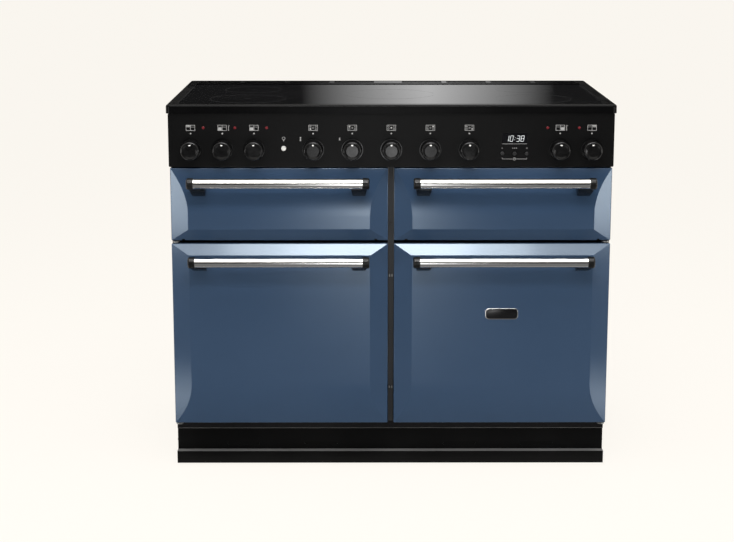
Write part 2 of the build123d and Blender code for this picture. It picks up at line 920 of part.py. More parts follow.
def oven_shelves():
    """One shelf in each oven, and the trivet on the grill pan."""
    width = mouth_width - 2 * shelf_side_gap
    shelves = []
    for side in (left_half, right_half):
        level = lower_mouth_low + lower_runner_heights[1]
        shelves.append(wire_shelf(side * door_centre, width, shelf_depth, shelf_front_y, level))
    level = upper_mouth_low + upper_runner_heights[0]
    shelves.append(wire_shelf(right_half * door_centre, width, shelf_depth, shelf_front_y, level))
    trivet_width = width - 2 * runner_size
    trivet_x = left_half * door_centre
    shelves.append(wire_shelf(trivet_x, trivet_width, shelf_depth, shelf_front_y, level + sheet))
    return Compound(shelves)


def grill_pan():
    """Enamelled pan that hangs on the runners by its rim."""
    top = upper_mouth_low + upper_runner_heights[0]
    width = mouth_width - 2 * shelf_side_gap
    hung = width - 2 * (runner_size + pan_rim / 2)
    deep = shelf_depth - 2 * pan_rim
    plane = Plane(
        origin=(left_half * door_centre, shelf_front_y + shelf_depth / 2, top + sheet),
        x_dir=(1, 0, 0),
        z_dir=(0, 0, -1),
    )
    rim = extrude(plane * RectangleRounded(width, shelf_depth, mouth_corner), sheet)
    body = extrude(plane * RectangleRounded(hung, deep, mouth_corner), pan_height, taper=pan_draft)
    hollow = extrude(
        plane * RectangleRounded(hung - 2 * sheet, deep - 2 * sheet, mouth_corner - sheet),
        pan_height - sheet,
        taper=pan_draft,
    )
    return rim + body - hollow


def fan_baffle(x):
    """Dished cover over an oven fan with a ring of intake slots and two outlet slots."""
    front = liner_back_y - baffle_depth
    cover = depth_slab(window(x, fan_z, baffle_width, baffle_width, mouth_corner), liner_back_y, front)
    room = baffle_width - 2 * sheet
    cover -= depth_slab(window(x, fan_z, room, room, mouth_corner - sheet), liner_back_y, front + sheet)
    length = baffle_slot_outer - baffle_slot_inner
    radius = (baffle_slot_outer + baffle_slot_inner) / 2
    slots = PolarLocations(radius, baffle_slot_count) * SlotOverall(length, baffle_slot_width)
    cover -= depth_slab(Pos(x, fan_z) * (Sketch() + slots), front + sheet, front)
    for side in (left_half, right_half):
        place = x + side * (baffle_width / 2 - baffle_vent_width)
        outlet = window(place, fan_z, baffle_vent_width, baffle_vent_height, baffle_vent_corner)
        cover -= depth_slab(outlet, front + sheet, front)
    return cover


def fan_motor(x):
    """Motor behind an oven's rear wall with its flange and shaft."""
    wall = liner_back_y + sheet
    flange = window(x, fan_z, motor_flange_width, motor_flange_width, mouth_corner)
    motor = depth_slab(flange, wall + motor_flange, wall)
    can_front = wall + motor_flange
    motor += depth_slab(disc_at(x, fan_z, motor_diameter), can_front + motor_length, can_front)
    tip = liner_back_y - fan_wall_gap - fan_height + fan_disc
    return motor + round_bar(motor_shaft, (x, wall, fan_z), (x, tip, fan_z))


def fan_blade():
    """Section of one curved blade along the X axis."""
    inner = fan_hub_diameter / 2 - fan_blade_thickness
    outer = fan_diameter / 2
    bow = outer / 8
    middle = (inner + outer) / 2
    lead = ThreePointArc((inner, 0), (middle, bow), (outer, 0))
    tip = Line((outer, 0), (outer, fan_blade_thickness))
    trail = ThreePointArc(
        (outer, fan_blade_thickness), (middle, bow + fan_blade_thickness), (inner, fan_blade_thickness)
    )
    root = Line((inner, fan_blade_thickness), (inner, 0))
    return make_face([*lead.edges(), *tip.edges(), *trail.edges(), *root.edges()])


def oven_fan(x):
    """Impeller: hub, rear disc and curved blades, bored for the motor shaft."""
    back = liner_back_y - fan_wall_gap
    front = back - fan_height
    fan = depth_slab(disc_at(x, fan_z, fan_diameter), back, back - fan_disc)
    fan += depth_slab(disc_at(x, fan_z, fan_hub_diameter), back, front)
    turn = 360 / fan_blade_count
    blades = Sketch() + [Rot(0, 0, turn * index) * fan_blade() for index in range(fan_blade_count)]
    fan += depth_slab(Pos(x, fan_z) * blades, back, front)
    bore = round_bar(motor_shaft + 2 * pin_clearance, (x, back, fan_z), (x, front + fan_disc / 2, fan_z))
    return fan - bore


def ring_element(x):
    """Heating ring round an oven fan with two straight legs through the rear wall."""
    y = liner_back_y - ring_wall_gap
    reach = ring_element_diameter / 2
    ring = Pos(0, y, fan_z) * Rot(90, 0, 0) * Torus(reach, element_rod / 2)
    for side in (left_half, right_half):
        place = side * reach
        ring += round_bar(element_rod, (place, y, fan_z), (place, terminal_y, fan_z))
    return Pos(x, 0, 0) * ring


def hairpin_element(x, z):
    """Heating rod bent back and forth, both ends through the rear wall."""
    places = hairpin_places(x)
    ends = (hairpin_back_y - hairpin_length, hairpin_back_y)
    points = [(places[0], terminal_y)]
    for index, (place, following) in enumerate(zip(places, places[1:])):
        points += [(place, ends[index % 2]), (following, ends[index % 2])]
    points.append((places[-1], terminal_y))
    path = Pos(0, 0, z) * FilletPolyline(*points, radius=hairpin_pitch * hairpin_bend_share)
    start = Plane(origin=path @ 0, z_dir=path % 0)
    return sweep(start * Circle(element_rod / 2), path=path)


def oven_elements():
    """Ring elements of the two lower ovens and hairpin elements of the two upper ones."""
    rings = [ring_element(mouth.x) for mouth in lower_mouths]
    hairpins = [hairpin_element(mouth.x, hairpin_height(mouth)) for mouth in upper_mouths]
    return Compound(rings + hairpins)


parts["lower_oven_liners"] = Compound(
    [liner(mouth, lower_runner_heights, fan_oven_holes(mouth)) for mouth in lower_mouths]
)
parts["upper_oven_liners"] = Compound(
    [liner(mouth, upper_runner_heights, hairpin_holes(mouth)) for mouth in upper_mouths]
)
parts["oven_shelves"] = oven_shelves()
parts["grill_pan"] = grill_pan()
parts["oven_elements"] = oven_elements()
parts["fan_baffles"] = Compound([fan_baffle(mouth.x) for mouth in lower_mouths])
parts["fan_motors"] = Compound([fan_motor(mouth.x) for mouth in lower_mouths])
for name, mouth in zip(("left_oven_fan", "right_oven_fan"), lower_mouths):
    parts[name] = oven_fan(mouth.x)


# Control panel: fascia, knobs, switches, neons, buttons, clock

knob_z = fascia_low + knob_height_in_fascia
knob_rear_y = fascia_y - knob_panel_gap
light_button_z = fascia_low + light_button_height_in_fascia
clock_window_z = fascia_low + clock_window_height_in_fascia
clock_button_z = fascia_low + clock_button_height_in_fascia
neon_z = fascia_low + neon_height_in_fascia
outer_knob_x = fascia_width / 2 - outer_knob_inset
oven_knob_pitch = fascia_width * oven_knob_pitch_share
hob_knob_pitch = fascia_width * hob_knob_pitch_share
left_knobs = [-outer_knob_x + oven_knob_pitch * index for index in range(left_oven_knob_count)]
right_knobs = [outer_knob_x - oven_knob_pitch * index for index in range(right_oven_knob_count)]
hob_knobs = [hob_knob_pitch * (index - (hob_knob_count - 1) / 2) for index in range(hob_knob_count)]
light_button_x = (left_knobs[-1] + hob_knobs[0]) / 2
clock_x = (hob_knobs[-1] + right_knobs[-1]) / 2
knob_places = dict(zip(("grill_knob", "left_oven_heat_knob", "left_oven_function_knob"), left_knobs))
knob_places.update(zip(("slow_oven_knob", "right_oven_heat_knob"), right_knobs))
hob_knob_names = (
    "left_front_zone_knob",
    "left_rear_zone_knob",
    "centre_zone_knob",
    "right_rear_zone_knob",
    "right_front_zone_knob",
)
knob_places.update(zip(hob_knob_names, hob_knobs))
neon_places = [x + neon_offset for x in left_knobs] + [x - neon_offset for x in right_knobs]
clock_button_places = {
    "clock_minus_button": clock_x - clock_button_pitch,
    "clock_set_button": clock_x,
    "clock_plus_button": clock_x + clock_button_pitch,
}


def control_panel():
    """Fascia tray with holes for shafts, neons, buttons and the clock window."""
    middle = (fascia_low + fascia_top) / 2
    outside = window(0, middle, fascia_width, fascia_height, door_corner)
    inside = window(0, middle, fascia_width - 2 * fascia_sheet, fascia_height - 2 * fascia_sheet)
    panel = depth_slab(outside, frame_back_y, fascia_y) - depth_slab(inside, frame_back_y, fascia_back_y)
    holes = [disc_at(x, knob_z, shaft_hole) for x in knob_places.values()]
    holes += [disc_at(x, neon_z, neon_diameter) for x in neon_places]
    holes.append(disc_at(light_button_x, light_button_z, light_button_diameter + 2 * button_clearance))
    holes += [
        disc_at(x, clock_button_z, clock_button_diameter + 2 * button_clearance)
        for x in clock_button_places.values()
    ]
    holes.append(window(clock_x, clock_window_z, clock_window_width, clock_window_height))
    for hole in holes:
        panel -= depth_slab(hole, fascia_back_y + fascia_sheet, fascia_y - fascia_sheet)
    return panel


def knob(x):
    """Tapered knob with a stepped skirt, a rounded edge and a dished face, bored for its shaft."""
    base = knob_base_diameter / 2
    face = knob_face_diameter / 2
    bore = shaft_diameter / 2 + shaft_clearance
    bore_end = -shaft_reach - shaft_clearance
    front = -knob_depth
    brow = face - knob_edge_round
    section = outline(
        (0, front + knob_face_dish),
        (0, bore_end),
        (bore, bore_end),
        (bore, 0),
        (base, 0),
        (base, -knob_skirt),
        (base - knob_skirt_step, -knob_skirt),
        (face, front),
        (brow, front),
        (brow - knob_edge_round, front + knob_face_dish),
    )
    rim = section.vertices().filter_by(lambda corner: corner.X == face and corner.Y == front)
    section = fillet(rim, knob_edge_round)
    return Pos(x, knob_rear_y, knob_z) * revolve(section, Axis.Y)


def rotary_switch(x):
    """Switch body behind the fascia with its bush and shaft."""
    back = fascia_back_y + switch_depth
    body = depth_slab(window(x, knob_z, switch_size, switch_size, door_corner), back, fascia_back_y)
    body += depth_slab(disc_at(x, knob_z, shaft_hole - 2 * shaft_clearance), fascia_back_y, fascia_y)
    shaft_end = (x, knob_rear_y - shaft_reach, knob_z)
    return body + round_bar(shaft_diameter, (x, fascia_back_y, knob_z), shaft_end)


def button_well(x, z, diameter):
    """Bore that a push button slides in, behind the fascia."""
    end = fascia_back_y + button_tail + button_travel + button_clearance
    return depth_slab(disc_at(x, z, diameter + 2 * button_clearance), end, fascia_back_y)


def push_button(x, z, diameter):
    """Round push button with a softened front edge."""
    button = depth_slab(disc_at(x, z, diameter), fascia_back_y + button_tail, fascia_y - button_proud)
    rim = button.edges().filter_by(GeomType.CIRCLE).sort_by(Axis.Y)[0]
    return fillet(rim, button_round)


def control_switches():
    """Rotary switches behind the knobs and the light switch housing."""
    switches = [rotary_switch(x) for x in knob_places.values()]
    housing = disc_at(light_button_x, light_button_z, light_button_diameter + 4 * fascia_sheet)
    housing_back = fascia_back_y + button_tail + 2 * button_travel + fascia_sheet
    light = depth_slab(housing, housing_back, fascia_back_y)
    switches.append(light - button_well(light_button_x, light_button_z, light_button_diameter))
    return Compound(switches)


def neon_lens(x):
    """Domed lens that passes through the fascia, with a flange behind it."""
    lens = depth_slab(disc_at(x, neon_z, neon_diameter), fascia_back_y, fascia_y - neon_dome)
    rim = lens.edges().filter_by(GeomType.CIRCLE).sort_by(Axis.Y)[0]
    lens = fillet(rim, neon_round)
    flange = disc_at(x, neon_z, neon_diameter + 2 * neon_flange)
    return lens + depth_slab(flange, fascia_back_y + neon_dome, fascia_back_y)


def clock_module():
    """Clock body behind the fascia, its display block in the window and wells for its buttons."""
    top = clock_window_z + clock_window_height / 2 + clock_body_margin
    low = clock_button_z - clock_button_diameter / 2 - clock_body_margin
    width = clock_window_width + 2 * clock_body_margin
    body = depth_slab(
        window(clock_x, (low + top) / 2, width, top - low, door_corner),
        fascia_back_y + clock_body_depth,
        fascia_back_y,
    )
    display = window(clock_x, clock_window_z, clock_window_width, clock_window_height)
    body += depth_slab(display, fascia_back_y, fascia_y + clock_window_recess)
    for x in clock_button_places.values():
        body -= button_well(x, clock_button_z, clock_button_diameter)
    return body


parts["control_panel"] = control_panel()
parts["control_switches"] = control_switches()
parts["neon_lenses"] = Compound([neon_lens(x) for x in neon_places])
parts["clock_module"] = clock_module()
parts["oven_light_button"] = push_button(light_button_x, light_button_z, light_button_diameter)
for name, x in clock_button_places.items():
    parts[name] = push_button(x, clock_button_z, clock_button_diameter)
for name, x in knob_places.items():
    parts[name] = knob(x)


# Hob: rim, glass, rear vent, tray, induction units

pocket_half = hob_width / 2 - rim_band
pocket_low = rim_top - glass_sink - glass_thickness
ledge_low = pocket_low - rim_ledge_thickness
glass_front_y = rim_front_y + rim_band
glass_back_y = back_y - vent_depth
vent_front_y = glass_back_y + rim_rear_bar
vent_back_y = back_y - rim_rear_bar
tray_low = ledge_low - tray_depth
tray_front_y = front_y + tray_front_setback
tray_back_y = glass_back_y - 2 * rim_ledge
hob_middle_y = (tray_front_y + tray_back_y) / 2
coil_side_offset = pocket_half - glass_clearance - large_coil / 2 - coil_edge_margin
vent_slots_run = pocket_half - vent_end - vent_centre / 2 - vent_bar * (vent_slots_each_side - 1)
vent_slot_width = vent_slots_run / vent_slots_each_side


def plan(front, back, half, corner=0.0):
    """Rectangle in X and Y, centred across the cooker."""
    depth = back - front
    shape = RectangleRounded(2 * half, depth, corner) if corner else Rectangle(2 * half, depth)
    return Pos(0, (front + back) / 2) * shape


def hob_rim():
    """Pressed surround: rounded outside, pockets for the glass and the vent, ledges under both."""
    rim = height_slab(plan(rim_front_y, back_y, hob_width / 2, rim_corner), fascia_top, rim_top)
    rim = fillet(rim.faces().sort_by(Axis.Z)[-1].edges(), rim_round)
    hollow = plan(rim_front_y + rim_wall, back_y - rim_wall, hob_width / 2 - rim_wall)
    rim -= height_slab(hollow, fascia_top, ledge_low)
    for front, back in ((glass_front_y, glass_back_y), (vent_front_y, vent_back_y)):
        rim -= height_slab(plan(front, back, pocket_half), pocket_low, rim_top)
        through = plan(front + rim_ledge, back - rim_ledge, pocket_half - rim_ledge)
        rim -= height_slab(through, ledge_low, pocket_low)
    return rim


def hob_glass():
    """Glass plate on the ledge of the rim."""
    low_y = glass_front_y + glass_clearance
    face = plan(low_y, glass_back_y - glass_clearance, pocket_half - glass_clearance)
    glass = height_slab(face, pocket_low, pocket_low + glass_thickness)
    return chamfer(glass.faces().sort_by(Axis.Z)[-1].edges(), glass_thickness / 5)


def rear_vent():
    """Vent strip with a row of slots each side of its solid centre."""
    face = plan(vent_front_y, vent_back_y, pocket_half)
    pitch = vent_slot_width + vent_bar
    first = vent_centre / 2 + vent_slot_width / 2
    for side in (left_half, right_half):
        for index in range(vent_slots_each_side):
            place = side * (first + pitch * index)
            face -= Pos(place, (vent_front_y + vent_back_y) / 2) * RectangleRounded(
                vent_slot_width, vent_slot_depth, vent_slot_corner
            )
    return height_slab(face, pocket_low, rim_top)


def hob_tray():
    """Tray under the glass, hung by its flange from the ledge of the rim."""
    half = pocket_half - 2 * rim_ledge
    room = rim_wall + glass_clearance
    flange = plan(rim_front_y + room, glass_back_y, hob_width / 2 - room)
    tray = height_slab(flange, ledge_low - sheet, ledge_low)
    tray += height_slab(plan(tray_front_y, tray_back_y, half, mouth_corner), tray_low, ledge_low)
    hollow = plan(tray_front_y + sheet, tray_back_y - sheet, half - sheet, mouth_corner - sheet)
    return tray - height_slab(hollow, tray_low + sheet, ledge_low)


def induction_coil(x, y, diameter):
    """Coil disc on a spoked carrier with a central post."""
    top = pocket_low - coil_glass_gap
    under = top - coil_thickness
    ring = height_slab(Pos(x, y) * (Circle(diameter / 2) - Circle(coil_bore / 2)), under, top)
    spokes = Sketch() + [
        Rot(0, 0, 360 / coil_spoke_count * index) * Rectangle(diameter - coil_spoke_width, coil_spoke_width)
        for index in range(coil_spoke_count // 2)
    ]
    ring += height_slab(Pos(x, y) * spokes, under - module_board, under)
    return ring + height_slab(Pos(x, y) * Circle(coil_post / 2), tray_low + sheet, under - module_board)


def power_module(x):
    """Power board with a finned heat sink."""
    low = tray_low + sheet
    board = Pos(x, hob_middle_y) * Rectangle(module_width, module_depth)
    module = height_slab(board, low, low + module_board)
    pitch = (module_width - module_fin) / (module_fin_count - 1)
    fins = GridLocations(pitch, 0, module_fin_count, 1) * Rectangle(module_fin, module_depth / 2)
    return module + height_slab(
        Pos(x, hob_middle_y) * (Sketch() + fins), low + module_board, low + module_board + module_fin_height
    )


def induction_units():
    """Five coils and two power modules in the hob tray."""
    units = [induction_coil(0, hob_middle_y, centre_coil)]
    for side in (left_half, right_half):
        x = side * coil_side_offset
        units.append(induction_coil(x, hob_middle_y - coil_row_offset, large_coil))
        units.append(induction_coil(x, hob_middle_y + coil_row_offset, small_coil))
        units.append(power_module(x / 2))
    return Compound(units)


parts["hob_rim"] = hob_rim()
parts["hob_glass"] = hob_glass()
parts["rear_vent"] = rear_vent()
parts["hob_tray"] = hob_tray()
parts["induction_units"] = induction_units()


# Lower front: vented panel and plinth

def lower_front_panel():
    """Vented panel with a forward lip along its top edge and four slots."""
    front = front_y + lower_panel_setback
    back = front + sheet
    section = outline(
        (front - panel_lip, lower_panel_top),
        (back, lower_panel_top),
        (back, plinth_top),
        (front, plinth_top),
        (front, lower_panel_top - sheet), (front - panel_lip, lower_panel_top - sheet),
    )
    panel = width_slab(section, -carcass_half, carcass_half)
    z = plinth_top + slot_rise + slot_height / 2
    for side in (left_half, right_half):
        for x in (door_centre - slot_offset, door_centre + slot_offset):
            slot = window(side * x, z, slot_width, slot_height, slot_corner)
            panel -= depth_slab(slot, back, front)
    return panel


def plinth():
    """Folded plinth: ledge under the panel, front face, bottom return and closed ends."""
    front = front_y - plinth_proud
    back = front_y + lower_panel_setback + sheet
    ledge = [(back, plinth_top), (front, plinth_top), (front, plinth_floor_gap), (back, plinth_floor_gap)]
    inner = [
        (back, plinth_floor_gap + sheet), (front + sheet, plinth_floor_gap + sheet),
        (front + sheet, plinth_top - sheet), (back, plinth_top - sheet),
    ]
    body = width_slab(outline(*ledge, *inner), -carcass_half, carcass_half)
    body += width_slab(outline(*ledge), -carcass_half, -carcass_half + sheet)
    return body + width_slab(outline(*ledge), carcass_half - sheet, carcass_half)


parts["lower_front_panel"] = lower_front_panel()
parts["plinth"] = plinth()

os.makedirs("parts", exist_ok=True)
for name, piece in parts.items():
    export_step(piece, os.path.join("parts", name + ".step"))
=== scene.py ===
"""Looks of an induction range cooker: finishes, printed marks, fasteners, trim, painted edge highlights and
slot shade, and studio.
"""

import json
import logging
import math
from dataclasses import dataclass, field
from enum import Enum

import bmesh
import bpy
from mathutils import Matrix, Vector


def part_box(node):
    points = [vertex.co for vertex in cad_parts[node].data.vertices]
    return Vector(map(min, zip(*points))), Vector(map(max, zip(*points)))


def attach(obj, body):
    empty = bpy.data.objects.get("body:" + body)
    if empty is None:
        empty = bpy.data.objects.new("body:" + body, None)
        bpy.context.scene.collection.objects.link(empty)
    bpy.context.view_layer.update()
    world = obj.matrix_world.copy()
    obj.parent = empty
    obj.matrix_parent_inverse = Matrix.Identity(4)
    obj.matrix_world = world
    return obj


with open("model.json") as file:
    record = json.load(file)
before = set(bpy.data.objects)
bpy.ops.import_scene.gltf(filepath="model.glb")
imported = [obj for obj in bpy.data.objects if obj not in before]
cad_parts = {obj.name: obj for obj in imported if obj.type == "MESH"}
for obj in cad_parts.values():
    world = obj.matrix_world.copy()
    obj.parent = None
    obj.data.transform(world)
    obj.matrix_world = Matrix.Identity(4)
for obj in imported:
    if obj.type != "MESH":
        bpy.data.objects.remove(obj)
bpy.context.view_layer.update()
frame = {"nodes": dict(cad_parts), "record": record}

LOG = logging.getLogger("range_cooker")
CHASSIS = "chassis"

Colour = tuple[float, float, float]
Point = tuple[float, float, float]
Flat = tuple[float, float]
Tint = tuple[float, float, float, float]


class Effect(Enum):
    """The surface effects that finishes share; each value is a shader node group's name."""

    DRIFT = "drift_and_grain"
    FLECK = "enamel_flecks"
    SPANGLE = "zinc_spangle"


class EffectGroups:
    """The shader node groups, each built when a finish first asks for it."""

    def __init__(self) -> None:
        """Start with no group built."""
        self._made: dict[Effect, bpy.types.ShaderNodeTree] = {}

    def get(self, effect: Effect) -> bpy.types.ShaderNodeTree:
        """Give the group of an effect.

        Args:
            effect: The effect wanted.

        Returns:
            The node group, with inputs Coarse, Fine and Stretch and outputs Mask and Height.
        """
        if effect not in self._made:
            self._made[effect] = self._build(effect)
        return self._made[effect]

    def _build(self, effect: Effect) -> bpy.types.ShaderNodeTree:
        """Build one group.

        Args:
            effect: The effect to build.

        Returns:
            The new node group.
        """
        tree = bpy.data.node_groups.new(effect.value, "ShaderNodeTree")
        for name in ("Coarse", "Fine"):
            tree.interface.new_socket(name, in_out="INPUT", socket_type="NodeSocketFloat")
        tree.interface.new_socket("Stretch", in_out="INPUT", socket_type="NodeSocketVector")
        for name in ("Mask", "Height"):
            tree.interface.new_socket(name, in_out="OUTPUT", socket_type="NodeSocketFloat")
        nodes, links = tree.nodes, tree.links
        source = nodes.new("NodeGroupInput")
        target = nodes.new("NodeGroupOutput")
        place = nodes.new("ShaderNodeTexCoord")
        stretched = nodes.new("ShaderNodeVectorMath")
        stretched.operation = "MULTIPLY"
        links.new(place.outputs["Object"], stretched.inputs[0])
        links.new(source.outputs["Stretch"], stretched.inputs[1])
        grain = nodes.new("ShaderNodeTexNoise")
        grain.inputs["Detail"].default_value = 3.0
        links.new(stretched.outputs["Vector"], grain.inputs["Vector"])
        links.new(source.outputs["Fine"], grain.inputs["Scale"])
        links.new(grain.outputs["Fac"], target.inputs["Height"])
        span = nodes.new("ShaderNodeMapRange")
        links.new(span.outputs["Result"], target.inputs["Mask"])
        if effect is Effect.DRIFT:
            pattern = nodes.new("ShaderNodeTexNoise")
            pattern.inputs["Detail"].default_value = 4.0
            links.new(pattern.outputs["Fac"], span.inputs["Value"])
            span.inputs["From Min"].default_value = 0.32
            span.inputs["From Max"].default_value = 0.68
        else:
            pattern = nodes.new("ShaderNodeTexVoronoi")
            if effect is Effect.FLECK:
                links.new(pattern.outputs["Distance"], span.inputs["Value"])
                span.inputs["From Min"].default_value = 0.22
                span.inputs["From Max"].default_value = 0.14
            else:
                links.new(pattern.outputs["Color"], span.inputs["Value"])
        links.new(stretched.outputs["Vector"], pattern.inputs["Vector"])
        links.new(source.outputs["Coarse"], pattern.inputs["Scale"])
        return tree


@dataclass(frozen=True)
class Finish:
    """A finish: two colours and two glosses that drift over the surface, and a fine relief."""

    name: str
    colour: Colour
    drift: Colour
    gloss: Flat
    effect: Effect = Effect.DRIFT
    coarse: float = 7.0
    fine: float = 900.0
    stretch: Point = (1.0, 1.0, 1.0)
    relief: float = 0.05
    depth: float = 0.0003
    glow: Colour | None = None
    settings: tuple[tuple[str, float | Tint], ...] = ()

    def material(self, groups: EffectGroups) -> bpy.types.Material:
        """Build the finish as a material.

        Args:
            groups: The shared effect groups.

        Returns:
            The new material.
        """
        made = bpy.data.materials.new(self.name)
        made.use_nodes = True
        nodes, links = made.node_tree.nodes, made.node_tree.links
        shader = nodes["Principled BSDF"]
        for socket, value in self.settings:
            shader.inputs[socket].default_value = value
        if self.glow:
            shader.inputs["Emission Color"].default_value = (*self.glow, 1.0)
        surface = nodes.new("ShaderNodeGroup")
        surface.node_tree = groups.get(self.effect)
        surface.inputs["Coarse"].default_value = self.coarse
        surface.inputs["Fine"].default_value = self.fine
        surface.inputs["Stretch"].default_value = self.stretch
        colours = nodes.new("ShaderNodeMix")
        colours.data_type = "RGBA"
        colours.inputs["A"].default_value = (*self.colour, 1.0)
        colours.inputs["B"].default_value = (*self.drift, 1.0)
        links.new(surface.outputs["Mask"], colours.inputs["Factor"])
        links.new(colours.outputs["Result"], shader.inputs["Base Color"])
        glosses = nodes.new("ShaderNodeMapRange")
        glosses.inputs["To Min"].default_value, glosses.inputs["To Max"].default_value = self.gloss
        links.new(surface.outputs["Mask"], glosses.inputs["Value"])
        links.new(glosses.outputs["Result"], shader.inputs["Roughness"])
        bump = nodes.new("ShaderNodeBump")
        bump.inputs["Strength"].default_value = self.relief
        bump.inputs["Distance"].default_value = self.depth
        links.new(surface.outputs["Height"], bump.inputs["Height"])
        links.new(bump.outputs["Normal"], shader.inputs["Normal"])
        return made


def sheen(level: float) -> tuple[str, float]:
    """Give the setting for a surface's plain reflection.

    Args:
        level: How strong it is, where 0.5 is common gloss.

    Returns:
        The shader socket's name and its value.
    """
    return "Specular IOR Level", level


